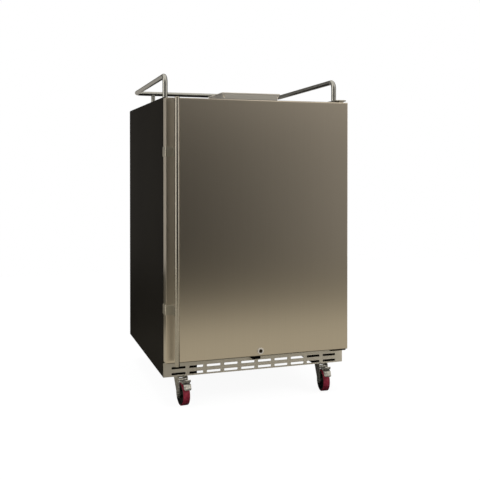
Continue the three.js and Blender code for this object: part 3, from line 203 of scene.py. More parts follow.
# Materials
class Nodes:
    """A material's node tree, with short calls for the nodes that the materials below share."""

    def __init__(self, name):
        self.material = bpy.data.materials.new(name)
        self.material.use_nodes = True
        self.tree = self.material.node_tree
        self.shader = self.tree.nodes["Principled BSDF"]
        self.place = self.tree.nodes.new("ShaderNodeTexCoord").outputs["Object"]

    def link(self, source, target):
        self.tree.links.new(source, target)

    def stretched(self, scale):
        """The place on the object, scaled by a different number along each axis."""
        mapping = self.tree.nodes.new("ShaderNodeMapping")
        mapping.inputs["Scale"].default_value = scale
        self.link(self.place, mapping.inputs["Vector"])
        return mapping.outputs["Vector"]

    def noise(self, scale, detail=3.0, place=None):
        noise = self.tree.nodes.new("ShaderNodeTexNoise")
        noise.inputs["Scale"].default_value = scale
        noise.inputs["Detail"].default_value = detail
        self.link(place or self.place, noise.inputs["Vector"])
        return noise.outputs["Fac"]

    def cells(self, scale, output="Distance"):
        """Closed cells: the distance to the middle of each, or a colour of its own."""
        cells = self.tree.nodes.new("ShaderNodeTexVoronoi")
        cells.inputs["Scale"].default_value = scale
        self.link(self.place, cells.inputs["Vector"])
        return cells.outputs[output]

    def ramp(self, value, dark, light, low=0.3, high=0.7):
        """A colour from dark to light, while a value goes from low to high."""
        ramp = self.tree.nodes.new("ShaderNodeValToRGB")
        elements = ramp.color_ramp.elements
        elements[0].position = low
        elements[0].color = dark
        elements[1].position = high
        elements[1].color = light
        self.link(value, ramp.inputs["Fac"])
        return ramp.outputs["Color"]

    def product(self, first, second):
        """Two colours multiplied."""
        mix = self.tree.nodes.new("ShaderNodeMix")
        mix.data_type = "RGBA"
        mix.blend_type = "MULTIPLY"
        mix.inputs["Factor"].default_value = 1.0
        self.link(first, mix.inputs["A"])
        self.link(second, mix.inputs["B"])
        return mix.outputs["Result"]

    def colour(self, value, dark, light, low=0.3, high=0.7):
        """Base colour from dark to light, while a value goes from low to high."""
        self.link(self.ramp(value, dark, light, low, high), self.shader.inputs["Base Color"])

    def roughness(self, value, middle, sway):
        """Roughness that sways round a middle as a value goes from 0 to 1."""
        spread = self.tree.nodes.new("ShaderNodeMapRange")
        spread.inputs["To Min"].default_value = middle - sway
        spread.inputs["To Max"].default_value = middle + sway
        self.link(value, spread.inputs["Value"])
        self.link(spread.outputs["Result"], self.shader.inputs["Roughness"])

    def bump(self, height, strength, distance):
        """Fine relief from a height between 0 and 1, which stands for a distance."""
        bump = self.tree.nodes.new("ShaderNodeBump")
        bump.inputs["Strength"].default_value = strength
        bump.inputs["Distance"].default_value = distance
        self.link(height, bump.inputs["Height"])
        self.link(bump.outputs["Normal"], self.shader.inputs["Normal"])

    def set(self, **values):
        """Sets the shader's own sockets, named with _ for a space."""
        for name, value in values.items():
            self.shader.inputs[name.replace("_", " ")].default_value = value


def brushed_steel(name, dark, light, along, roughness, metal=1.0):
    """Brushed sheet: fine streaks along one axis, and a gloss that spreads across them."""
    nodes = Nodes(name)
    streaks = nodes.noise(scale=1.0, detail=4.0, place=nodes.stretched(STREAK_SCALES[along]))
    nodes.colour(streaks, dark, light)
    nodes.roughness(streaks, roughness, sway=0.01)
    tangent = nodes.tree.nodes.new("ShaderNodeTangent")
    tangent.direction_type = "RADIAL"
    tangent.axis = along
    nodes.link(tangent.outputs["Tangent"], nodes.shader.inputs["Tangent"])
    nodes.set(Metallic=metal, Anisotropic=0.6)
    return nodes.material


def polished_steel(name, dark, light, roughness):
    """Satin-polished steel: smooth, with faint smudges in its gloss."""
    nodes = Nodes(name)
    smudges = nodes.noise(scale=35.0, detail=4.0)
    nodes.colour(smudges, dark, light)
    nodes.roughness(smudges, roughness, sway=0.04)
    nodes.bump(nodes.noise(scale=900.0, detail=2.0), strength=0.03, distance=POLISH_DEPTH)
    nodes.set(Metallic=1.0)
    return nodes.material


def zinc(name, dark, light):
    """Dull zinc plating: mottled, with a slightly grainy surface."""
    nodes = Nodes(name)
    mottle = nodes.noise(scale=160.0, detail=5.0)
    nodes.colour(mottle, dark, light, low=0.35, high=0.65)
    nodes.roughness(mottle, middle=0.385, sway=0.065)
    nodes.bump(nodes.noise(scale=1500.0, detail=2.0), strength=0.08, distance=ZINC_DEPTH)
    nodes.set(Metallic=0.85)
    return nodes.material


def galvanised_steel(name, dark, light):
    """Galvanised sheet with its spangle of flat zinc crystals."""
    nodes = Nodes(name)
    spangle = nodes.cells(scale=90.0, output="Color")
    tone = nodes.ramp(nodes.noise(scale=12.0), dark, light)
    shade = nodes.ramp(spangle, grey(SPANGLE_DARK), grey(SPANGLE_LIGHT), low=0.2, high=0.8)
    nodes.link(nodes.product(tone, shade), nodes.shader.inputs["Base Color"])
    nodes.roughness(nodes.noise(scale=60.0), middle=0.475, sway=0.075)
    nodes.bump(spangle, strength=0.05, distance=SPANGLE_DEPTH)
    nodes.set(Metallic=1.0)
    return nodes.material


def painted_steel(name, dark, light, roughness):
    """Powder coat: a fine orange-peel surface over an almost even colour."""
    nodes = Nodes(name)
    nodes.colour(nodes.noise(scale=6.0), dark, light)
    peel = nodes.noise(scale=700.0, detail=2.0)
    nodes.roughness(peel, roughness, sway=0.05)
    nodes.bump(peel, strength=0.15, distance=PEEL_DEPTH)
    nodes.set(Specular_IOR_Level=0.04)
    return nodes.material


def plastic(name, dark, light, roughness, grain):
    """Moulded plastic or rubber: faint colour clouds and a fine moulded grain."""
    nodes = Nodes(name)
    nodes.colour(nodes.noise(scale=9.0), dark, light)
    texture = nodes.noise(scale=grain, detail=2.0)
    nodes.roughness(texture, roughness, sway=0.06)
    nodes.bump(texture, strength=0.12, distance=MOULDED_DEPTH)
    nodes.set(Specular_IOR_Level=0.3)
    return nodes.material


def cut_foam(name, dark, light):
    """Rigid foam: small closed cells."""
    nodes = Nodes(name)
    cells = nodes.cells(scale=420.0)
    nodes.colour(cells, dark, light, low=0.1, high=0.6)
    nodes.roughness(nodes.noise(scale=40.0), middle=0.875, sway=0.075)
    nodes.bump(cells, strength=0.5, distance=FOAM_CELL_DEPTH)
    return nodes.material


def tread_plastic(name, dark, light):
    """Coloured tread: a little scuffed in patches."""
    nodes = Nodes(name)
    scuffs = nodes.noise(scale=120.0, detail=6.0)
    nodes.colour(scuffs, dark, light, low=0.35, high=0.65)
    nodes.roughness(scuffs, middle=0.5, sway=0.1)
    nodes.bump(scuffs, strength=0.1, distance=SCUFF_DEPTH)
    nodes.set(Specular_IOR_Level=0.25)
    return nodes.material


def frosted_lens(name, dark, light):
    """Ribbed translucent lens."""
    nodes = Nodes(name)
    wave = nodes.tree.nodes.new("ShaderNodeTexWave")
    wave.inputs["Scale"].default_value = 110.0
    nodes.link(nodes.place, wave.inputs["Vector"])
    ribs = wave.outputs["Fac"]
    nodes.colour(ribs, dark, light, low=0.2, high=0.8)
    nodes.bump(ribs, strength=0.4, distance=LENS_RIB_DEPTH)
    nodes.set(Roughness=0.25, Subsurface_Weight=0.2)
    return nodes.material


# Each material's maker, its dark and its light tone in display values, and its own settings
FINISHES = {
    "black_paint": (painted_steel, (13, 11, 9), (18, 16, 13), dict(roughness=0.6)),
    "brushed_steel": (brushed_steel, (192, 185, 173), (196, 189, 177), dict(along="Z", roughness=0.28)),
    # Pale, half-matt steel for the drip tray: its light tone is painted sheen, standing in for the bright
    # reflections on the tray
    "tray_steel": (
        brushed_steel, (226, 220, 208), (232, 226, 214), dict(along="X", roughness=0.6, metal=0.4),
    ),
    "cross_steel": (brushed_steel, (222, 220, 214), (228, 226, 220), dict(along="X", roughness=0.42)),
    "polished_steel": (polished_steel, (160, 162, 160), (172, 174, 172), dict(roughness=0.3)),
    "handle_steel": (polished_steel, (164, 161, 154), (174, 171, 164), dict(roughness=0.22)),
    "satin_steel": (polished_steel, (182, 179, 169), (188, 185, 175), dict(roughness=0.45)),
    # Dark steel whose dark tone is partly painted shade: on the bottom hinge bracket it stands in for the
    # shade under the door
    "dark_steel": (polished_steel, (52, 46, 38), (64, 58, 50), dict(roughness=0.4)),
    "zinc_steel": (zinc, (168, 168, 162), (212, 211, 206), {}),
    "galvanised": (galvanised_steel, (156, 159, 161), (186, 189, 191), {}),
    "white_plastic": (plastic, (222, 222, 218), (234, 234, 230), dict(roughness=0.4, grain=500.0)),
    "grey_plastic": (plastic, (70, 71, 75), (86, 87, 91), dict(roughness=0.55, grain=500.0)),
    "black_plastic": (plastic, (15, 14, 14), (24, 23, 23), dict(roughness=0.5, grain=500.0)),
    "foam": (cut_foam, (196, 184, 140), (222, 212, 174), {}),
    "gasket_rubber": (plastic, (58, 58, 58), (74, 74, 74), dict(roughness=0.65, grain=900.0)),
    "black_rubber": (plastic, (20, 20, 20), (30, 30, 30), dict(roughness=0.7, grain=900.0)),
    "red_tread": (tread_plastic, (128, 32, 50), (166, 56, 74), {}),
    "clear_lens": (frosted_lens, (214, 212, 200), (242, 240, 230), {}),
}
materials = {}
for name, (maker, dark, light, settings) in FINISHES.items():
    materials[name] = maker(name, srgb(*dark), srgb(*light), **settings)


def coat(piece, name):
    """Gives a piece one of the materials above."""
    piece.data.materials.clear()
    piece.data.materials.append(materials[name])


# Mesh helpers
UP = Vector((0, 0, 1))


def new_piece(name, mesh_maker, body, slot_name, replaced=(), material=None):
    """Makes a smooth piece from bmesh, in place, riding on a body and standing for CAD nodes."""
    mesh = bpy.data.meshes.new(name)
    shape = bmesh.new()
    mesh_maker(shape)
    bmesh.ops.recalc_face_normals(shape, faces=shape.faces)
    shape.to_mesh(mesh)
    shape.free()
    mesh.shade_smooth()
    mesh.set_sharp_from_angle(angle=SHARP_ANGLE)
    piece = bpy.data.objects.new(name, mesh)
    bpy.context.scene.collection.objects.link(piece)
    coat(piece, material or slot_name)
    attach(piece, body)
    if replaced:
        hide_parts(*replaced)
    return piece


def middle(node):
    """The middle of a node's box."""
    low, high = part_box(node)
    return (low + high) / 2


def bent_line(corners, bend):
    """Points along straight runs joined by round bends, each with its direction."""
    stations = []
    for i, corner in enumerate(corners):
        if i in (0, len(corners) - 1):
            ahead = corners[1] - corners[0] if i == 0 else corners[-1] - corners[-2]
            stations.append((corner, ahead.normalized()))
            continue
        back = (corners[i - 1] - corner).normalized()
        ahead = (corners[i + 1] - corner).normalized()
        half = back.angle(ahead) / 2
        centre = corner + (back + ahead).normalized() * (bend / math.sin(half))
        arm = corner + back * (bend / math.tan(half)) - centre
        axis = arm.cross(-back).normalized()
        for k in range(BEND_STEPS + 1):
            turned = Matrix.Rotation((math.pi - 2 * half) * k / BEND_STEPS, 3, axis) @ arm
            stations.append((centre + turned, axis.cross(turned).normalized()))
    return stations


def add_tube(shape, corners, radius, bend=0.0, sides=ROUND_SIDES):
    """A closed round tube along a bent line."""
    stations = bent_line(corners, bend)
    side = stations[0][1].orthogonal().normalized()
    rings = []
    for point, along in stations:
        side = (side - along * side.dot(along)).normalized()
        up = along.cross(side)
        ring = []
        for k in range(sides):
            angle = math.tau * k / sides
            spoke = side * math.cos(angle) + up * math.sin(angle)
            ring.append(shape.verts.new(point + spoke * radius))
        rings.append(ring)
    close_rings(shape, rings)


def join_rings(shape, rings, closed=False):
    """Faces between successive rings. A ring of one vertex is a tip."""
    pairs = list(zip(rings, rings[1:]))
    if closed:
        pairs.append((rings[-1], rings[0]))
    for first, second in pairs:
        count = max(len(first), len(second))
        for k in range(count):
            after = (k + 1) % count
            corners = [
                first[k % len(first)],
                first[after % len(first)],
                second[after % len(second)],
                second[k % len(second)],
            ]
            shape.faces.new(list(dict.fromkeys(corners)))


def close_rings(shape, rings):
    """Faces between successive rings, and a flat face over the first and the last."""
    join_rings(shape, rings)
    shape.faces.new(rings[0])
    shape.faces.new(rings[-1])


def band(inner, outer, start, end):
    """Profile of a ring or, with no inner radius, a disc, for add_turned."""
    return [(inner, start), (outer, start), (outer, end), (inner, end)]


def add_turned(shape, centre, axis, profile, sides=ROUND_SIDES):
    """A closed solid of revolution. The profile is (radius, distance along the axis from the centre)."""
    turn = UP.rotation_difference(axis).to_matrix()
    rings = []
    for radius, along in profile:
        if radius == 0:
            rings.append([shape.verts.new(centre + turn @ Vector((0, 0, along)))])
            continue
        ring = []
        for k in range(sides):
            angle = math.tau * k / sides
            spoke = Vector((radius * math.cos(angle), radius * math.sin(angle), along))
            ring.append(shape.verts.new(centre + turn @ spoke))
        rings.append(ring)
    join_rings(shape, rings, closed=profile[0][0] > 0)


def add_slab(shape, low, high, corner, edge):
    """An upright slab with round upright corners and softened top and bottom edges."""
    cut = edge * SLAB_EDGE_SHARE
    levels = [(edge, low.z), (cut, low.z + cut), (0, low.z + edge)]
    levels += [(0, high.z - edge), (cut, high.z - cut), (edge, high.z)]
    rings = []
    for inset, z in levels:
        reach = corner - inset
        ring = []
        for quarter, (sx, sy) in enumerate(((1, 1), (-1, 1), (-1, -1), (1, -1))):
            centre_x = (high.x if sx > 0 else low.x) - sx * corner
            centre_y = (high.y if sy > 0 else low.y) - sy * corner
            for k in range(CORNER_STEPS + 1):
                angle = math.pi / 2 * (quarter + k / CORNER_STEPS)
                x = centre_x + reach * math.cos(angle)
                y = centre_y + reach * math.sin(angle)
                ring.append(shape.verts.new((x, y, z)))
        rings.append(ring)
    close_rings(shape, rings)


def rounded(profile, reach, steps=CORNER_STEPS):
    """A profile whose corners, apart from its two ends, are turned into small curves."""
    points = [Vector(p) for p in profile]
    made = [tuple(points[0])]
    for before, corner, after in zip(points, points[1:], points[2:]):
        cut = min(reach, (before - corner).length / 2, (after - corner).length / 2)
        start = corner + (before - corner).normalized() * cut
        end = corner + (after - corner).normalized() * cut
        for k in range(steps + 1):
            t = k / steps
            made.append(tuple(start * (1 - t) ** 2 + corner * (2 * t * (1 - t)) + end * t**2))
    made.append(tuple(points[-1]))
    return made


# Pieces on the cabinet and the door
def guard_rail():
    """Bent tube on the top, with two more legs under its back run."""
    low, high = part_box("guard_rail")
    side_x = high.x - RAIL_RADIUS
    back_y = high.y - RAIL_RADIUS
    front_y = low.y + RAIL_RADIUS
    level = high.z - RAIL_RADIUS
    back_level = level - RAIL_BACK_DROP
    leg_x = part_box("side_panel_right")[1].x - RAIL_BACK_LEG_INSET

    def make(shape):
        corners = [
            Vector((-side_x, front_y, low.z)),
            Vector((-side_x, front_y, level)),
            Vector((-side_x, back_y, back_level)),
            Vector((side_x, back_y, back_level)),
            Vector((side_x, front_y, level)),
            Vector((side_x, front_y, low.z)),
        ]
        add_tube(shape, corners, RAIL_RADIUS, RAIL_BEND)
        for side in (-1, 1):
            leg = [Vector((side * leg_x, back_y, low.z)), Vector((side * leg_x, back_y, back_level))]
            add_tube(shape, leg, RAIL_LEG_RADIUS)

    new_piece("rail_tube", make, "cabinet", "polished_steel", ["guard_rail"])


def handle_tube():
    """Straight tube with softened ends."""
    low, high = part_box("handle_tube")
    centre = middle("handle_tube")
    radius = (high.x - low.x) / 2
    half = (high.z - low.z) / 2
    profile = rounded(band(0, radius, -half, half), HANDLE_END_ROUND)
    new_piece(
        "handle_bar",
        lambda shape: add_turned(shape, centre, UP, profile),
        "door",
        "polished_steel",
        ["handle_tube"],
        "handle_steel",
    )


def door_panel():
    """Folded steel pan whose front edges are rolled over, sharply at the sides and softly at the foot."""
    low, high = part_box("door_skin")
    # Insets at the sides, at the foot and at the top
    rounds = Vector((DOOR_SIDE_ROUND, DOOR_FOOT_ROUND, DOOR_TOP_ROUND))
    sheet = Vector((DOOR_SHEET, DOOR_SHEET, DOOR_SHEET))

    def ring(shape, insets, y):
        left, right = low.x + insets.x, high.x - insets.x
        bottom, top = low.z + insets.y, high.z - insets.z
        corners = ((left, bottom), (right, bottom), (right, top), (left, top))
        return [shape.verts.new((x, y, z)) for x, z in corners]

    def make(shape):
        rings = [ring(shape, sheet, low.y + DOOR_SHEET), ring(shape, sheet, high.y)]
        rings.append(ring(shape, Vector(), high.y))
        for step in range(BEND_STEPS + 1):
            angle = math.pi / 2 * step / BEND_STEPS
            y = low.y + DOOR_SIDE_ROUND * (1 - math.sin(angle))
            rings.append(ring(shape, rounds * (1 - math.cos(angle)), y))
        rings.append(ring(shape, rounds + sheet, low.y))
        close_rings(shape, rings)

    new_piece("door_panel", make, "door", "brushed_steel", ["door_skin"])


def door_gasket():
    """Bellows profile all the way round the door, with mitred corners."""
    low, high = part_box("door_gasket")
    deep = high.y - low.y
    lip, first, waist, second, base = GASKET_FOLD_SHARES
    folds = [
        (0, 0),
        (0, lip),
        (GASKET_FOLD_IN, first),
        (GASKET_FOLD_OUT, waist),
        (GASKET_FOLD_IN, second),
        (0, base),
        (0, 1),
    ]
    profile = [(GASKET_WIDTH - inset, share) for inset, share in folds] + folds[::-1]

    def make(shape):
        rings = []
        for inset, share in profile:
            y = low.y + share * deep
            left, right = low.x + inset, high.x - inset
            bottom, top = low.z + inset, high.z - inset
            corners = ((left, bottom), (right, bottom), (right, top), (left, top))
            rings.append([shape.verts.new((x, y, z)) for x, z in corners])
        join_rings(shape, rings, closed=True)

    new_piece("gasket_bellows", make, "door", "gasket_rubber", ["door_gasket"])


# Cooling unit at the back
def compressor_foot(shape, place):
    """A rubber foot with a groove round its waist."""
    below, waist, above = FOOT_GROOVE_HEIGHT_SHARES
    profile = [
        (0, 0),
        (FOOT_RADIUS, 0),
        (FOOT_RADIUS, FOOT_HEIGHT * below),
        (FOOT_RADIUS * FOOT_GROOVE_SHARE, FOOT_HEIGHT * waist),
        (FOOT_RADIUS, FOOT_HEIGHT * above),
        (FOOT_RADIUS, FOOT_HEIGHT),
        (0, FOOT_HEIGHT),
    ]
    add_turned(shape, place, UP, profile)


def compressor_pot(foot, top):
    """Half outline of the welded pot: straight sides, a seam round the middle and a domed crown."""
    seam = (foot + top) / 2
    shoulder = top - COMPRESSOR_CROWN
    profile = [
        (0, foot),
        (COMPRESSOR_RADIUS * POT_BASE_SHARE, foot),
        (COMPRESSOR_RADIUS, foot + COMPRESSOR_CROWN / 2),
        (COMPRESSOR_RADIUS, seam - COMPRESSOR_SEAM),
        (COMPRESSOR_RADIUS + COMPRESSOR_SEAM, seam),
        (COMPRESSOR_RADIUS, seam + COMPRESSOR_SEAM),
    ]
    for step in range(CROWN_STEPS):
        angle = math.pi / 2 * step / CROWN_STEPS
        across = COMPRESSOR_RADIUS * math.cos(angle)
        profile.append((across, shoulder + COMPRESSOR_CROWN * math.sin(angle)))
    profile.append((0, top))
    return rounded(profile, COMPRESSOR_SEAM / 2, steps=2)


def compressor():
    """Welded pot on a foot plate with four rubber feet, and its terminal cover."""
    low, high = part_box("compressor")
    pan = middle("drain_pan")
    x = pan.x
    y = (low.y + high.y) / 2
    right = high.x
    foot = low.z + FOOT_HEIGHT
    seam = (foot + high.z) / 2
    plate_back = y + FOOT_PLATE_DEPTH / 2
    plate_front = y - FOOT_PLATE_DEPTH / 2

    def make(shape):
        add_turned(shape, Vector((x, y, 0)), UP, compressor_pot(foot, high.z), WHEEL_SIDES)
        plate_low = Vector((2 * x - right, plate_front, foot))
        plate_high = Vector((right, plate_back, foot + FOOT_PLATE))
        add_slab(shape, plate_low, plate_high, PLATE_ROUND, FINE_EDGE_ROUND)
        for foot_x in (plate_low.x + FOOT_INSET, plate_high.x - FOOT_INSET):
            for foot_y in (plate_front + FOOT_INSET, plate_back - FOOT_INSET):
                compressor_foot(shape, Vector((foot_x, foot_y, low.z)))
        cover_low = Vector((low.x, y - TERMINAL_DEPTH / 2, seam - TERMINAL_HEIGHT / 2))
        cover_high = Vector((x - COMPRESSOR_RADIUS / 2, y + TERMINAL_DEPTH / 2, seam + TERMINAL_HEIGHT / 2))
        add_slab(shape, cover_low, cover_high, TERMINAL_ROUND, EDGE_ROUND)

    new_piece("compressor_pot", make, "cabinet", "black_paint", ["compressor"])


def condenser():
    """Serpentine tube with upright round wires welded along its rear face."""
    low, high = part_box("condenser")
    y = low.y + CONDENSER_TUBE
    first = low.z + WIRE_TAIL
    reach = high.x - CONDENSER_TUBE

    def make(shape):
        corners = []
        for row in range(CONDENSER_PASSES):
            side = 1 if row % 2 else -1
            level = first + row * CONDENSER_PITCH
            corners.append(Vector((-side * reach, y, level)))
            corners.append(Vector((side * reach, y, level)))
        add_tube(shape, corners, CONDENSER_TUBE, CONDENSER_BEND, WIRE_SIDES)
        spread = reach - CONDENSER_BEND
        for i in range(WIRE_COUNT):
            x = 2 * spread * i / (WIRE_COUNT - 1) - spread
            wire_y = high.y - WIRE_RADIUS
            wire = [Vector((x, wire_y, low.z)), Vector((x, wire_y, high.z))]
            add_tube(shape, wire, WIRE_RADIUS, sides=WIRE_SIDES)

    new_piece("condenser_coil", make, "cabinet", "black_paint", ["condenser"])


# Casters
def caster_wheel(place):
    """Tread with softened shoulders, and a core with a rim, a thin web and a coved hub."""
    roll = joints[f"roll_{place}"]
    centre = Vector(roll["pos_m"])
    axle = Vector(roll["axis"])
    radius = centre.z
    inner = radius - TREAD_THICKNESS
    half = TREAD_WIDTH / 2
    tread = rounded(band(inner, radius, -half, half), TREAD_SHOULDER)
    new_piece(
        f"tread_{place}",
        lambda shape: add_turned(shape, centre, axle, tread, WHEEL_SIDES),
        f"wheel_{place}",
        "red_tread",
        [f"caster_tread_{place}"],
    )
    low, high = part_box(f"caster_core_{place}")
    rim = (high.z - low.z) / 2
    rim_inside = rim - WHEEL_RIM_DEPTH
    web = WHEEL_WEB_WIDTH / 2
    outer = CORE_WIDTH / 2
    hub = HUB_WIDTH / 2
    one_side = [
        (AXLE_BORE, hub),
        (WHEEL_HUB_RADIUS, hub),
        (WHEEL_HUB_RADIUS + HUB_COVE, web),
        (rim_inside - HUB_COVE, web),
        (rim_inside, outer),
        (rim, outer),
    ]
    core = rounded([(r, -along) for r, along in one_side] + one_side[::-1], WHEEL_ROUND, steps=3)
    new_piece(
        f"core_{place}",
        lambda shape: add_turned(shape, centre, axle, core, WHEEL_SIDES),
        f"wheel_{place}",
        "black_plastic",
        [f"caster_core_{place}"],
    )


def raceway(place):
    """Ball race of the swivel head: a shallow cup between the caster's plate and its fork."""
    centre = Vector(joints[f"swivel_{place}"]["pos_m"])
    centre.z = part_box(f"caster_plate_{place}")[1].z - CASTER_PLATE
    depth = centre.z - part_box(f"caster_fork_{place}")[1].z - RACEWAY_GAP
    profile = [
        (0, 0),
        (RACEWAY_RADIUS - RACEWAY_LIP, 0),
        (RACEWAY_RADIUS, depth / 2),
        (RACEWAY_RADIUS - RACEWAY_LIP / 2, depth),
        (0, depth),
    ]
    new_piece(
        f"raceway_{place}",
        lambda shape: add_turned(shape, centre, -UP, rounded(profile, RACEWAY_LIP / 2)),
        "cabinet",
        "zinc_steel",
    )


def sheet_section(half_width, half_sheet):
    """Cross section of a strap of sheet with round edges, as (across, through)."""
    section = []
    for side in (1, -1):
        for step in range(PEDAL_EDGE_STEPS + 1):
            angle = math.pi * step / PEDAL_EDGE_STEPS - math.pi / 2
            across = half_width - half_sheet + half_sheet * math.cos(angle)
            section.append((side * across, side * half_sheet * math.sin(angle)))
    return section


def brake_pedal(place):
    """Pressed pedal: a hub on the fork's pin, two curved tabs, and cheeks turned down at its sides."""
    hinge = joints[f"pedal_{place}"]
    pivot = Vector(hinge["pos_m"])
    axis = Vector(hinge["axis"])
    ahead = axis.cross(UP)

    def spots(shares):
        return [pivot + (ahead * forward + UP * above) * PEDAL_REACH for forward, above in shares]

    def strap(shape, shares):
        stations = bent_line(spots(shares), PEDAL_BEND)
        rings = []
        for index, (point, along) in enumerate(stations):
            at_end = index in (0, len(stations) - 1)
            width = PEDAL_HALF_WIDTH * (PEDAL_TIP_SHARE if at_end else 1)
            through = axis.cross(along)
            section = sheet_section(width, PEDAL_SHEET / 2)
            rings.append([shape.verts.new(point + axis * a + through * t) for a, t in section])
        close_rings(shape, rings)

    def cheek(shape, inside, outside):
        rings = []
        for side in (inside, outside):
            rings.append([shape.verts.new(spot + axis * side) for spot in spots(PEDAL_CHEEK_SHARES)])
        close_rings(shape, rings)

    def make(shape):
        half = PEDAL_HALF_WIDTH
        add_turned(shape, pivot, axis, band(PEDAL_PIN_RADIUS, PEDAL_HUB_RADIUS, -half, half))
        strap(shape, PEDAL_UPPER_SHARES)
        strap(shape, PEDAL_LOWER_SHARES)
        cheek(shape, half - PEDAL_SHEET, half)
        cheek(shape, -half, PEDAL_SHEET - half)

    new_piece(f"pedal_{place}", make, f"pedal_{place}", "zinc_steel", [f"brake_pedal_{place}"])


def plate_bolts(place):
    """Four domed hexagonal bolts with washers, under the corners of a caster plate."""
    low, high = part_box(f"caster_plate_{place}")
    level = high.z - CASTER_PLATE
    washer = band(0, WASHER_RADIUS, 0, WASHER_THICKNESS)
    head = [
        (0, WASHER_THICKNESS),
        (BOLT_RADIUS, WASHER_THICKNESS),
        (BOLT_RADIUS, BOLT_HEAD_HEIGHT),
        (BOLT_RADIUS - BOLT_DOME, BOLT_HEAD_HEIGHT + BOLT_DOME),
        (0, BOLT_HEAD_HEIGHT + BOLT_DOME),
    ]

    def make(shape):
        for x in (low.x + BOLT_INSET, high.x - BOLT_INSET):
            for y in (low.y + BOLT_INSET, high.y - BOLT_INSET):
                add_turned(shape, Vector((x, y, level)), -UP, washer)
                add_turned(shape, Vector((x, y, level)), -UP, head, HEX_SIDES)

    new_piece(f"plate_bolts_{place}", make, "cabinet", "zinc_steel")


FRONT_PLACES = ("front_left", "front_right")
REAR_PLACES = ("rear_left", "rear_right")
guard_rail()
handle_tube()
door_panel()
door_gasket()
compressor()
condenser()
for place in FRONT_PLACES + REAR_PLACES:
    caster_wheel(place)
    plate_bolts(place)
    raceway(place)
for place in FRONT_PLACES:
    brake_pedal(place)


# CAD nodes keep their shape, and get softened edges and a finished material
def dress(node, edge):
    """Rounds a node's edges, once the points that its faces share are joined."""
    piece = frame["nodes"][node]
    weld = piece.modifiers.new("weld", "WELD")
    weld.merge_threshold = WELD_REACH
    bevel = piece.modifiers.new("edges", "BEVEL")
    bevel.width = edge
    bevel.segments = EDGE_STEPS
    bevel.limit_method = "ANGLE"
    bevel.angle_limit = SHARP_ANGLE
    bevel.harden_normals = True


SPECIAL_COATS = {
    "kick_grille": "cross_steel",
    # The drip tray and its grid take a steel whose light tone is painted sheen
    "drip_tray": "tray_steel",
    "drip_grid": "tray_steel",
    "handle_bracket_upper": "satin_steel",
    "handle_bracket_lower": "satin_steel",
    "hinge_bracket_top": "satin_steel",
    # The bottom hinge bracket's dark coat is painted shade, for the shade under the door's foot
    "hinge_bracket_bottom": "dark_steel",
    "lock_barrel": "tray_steel",
    "lock_plug": "dark_steel",
}
FINE_NODES = ("kick_grille", "drip_tray", "drip_grid", "lock_strike", "lock_plug", "lock_barrel")
for row in frame["record"]["subparts"]:
    node = row["node"]
    coat(frame["nodes"][node], SPECIAL_COATS.get(node, row["material_slot"]))
    dress(node, FINE_EDGE_ROUND if node in FINE_NODES else EDGE_ROUND)


# Studio: light levels and tints, and sizes in metres
FLOOR_SIZE = 5.2
FLOOR_SEEN = 0.94
FLOOR_MATTE = 0.1
SKY_LIGHT = 0.5
ROOM_TINT = (1, 0.93, 0.82)
FLOOR_TINT = (1, 0.905, 0.71)

# Each lamp's name, place, the height on the middle line that it aims at, its side and its power
LAMPS = [
    ("key", (2.4, -2.2, 2.6), 0.5, 1.6, 50),
    ("fill", (-2.2, -1.6, 2.2), 0.5, 1.6, 25),
    ("top", (0, 0.2, 3.2), 0.9, 2.0, 40),
]


def stage_square(name, size):
    """A square at the origin that isn't part of the object."""
    mesh = bpy.data.meshes.new(name)
    shape = bmesh.new()
    bmesh.ops.create_grid(shape, x_segments=1, y_segments=1, size=size / 2)
    shape.to_mesh(mesh)
    shape.free()
    plane = bpy.data.objects.new(name, mesh)
    bpy.context.scene.collection.objects.link(plane)
    return plane


def tinted(level, tint):
    """A level of tinted light, as a colour."""
    return (*(level * share for share in tint), 1)


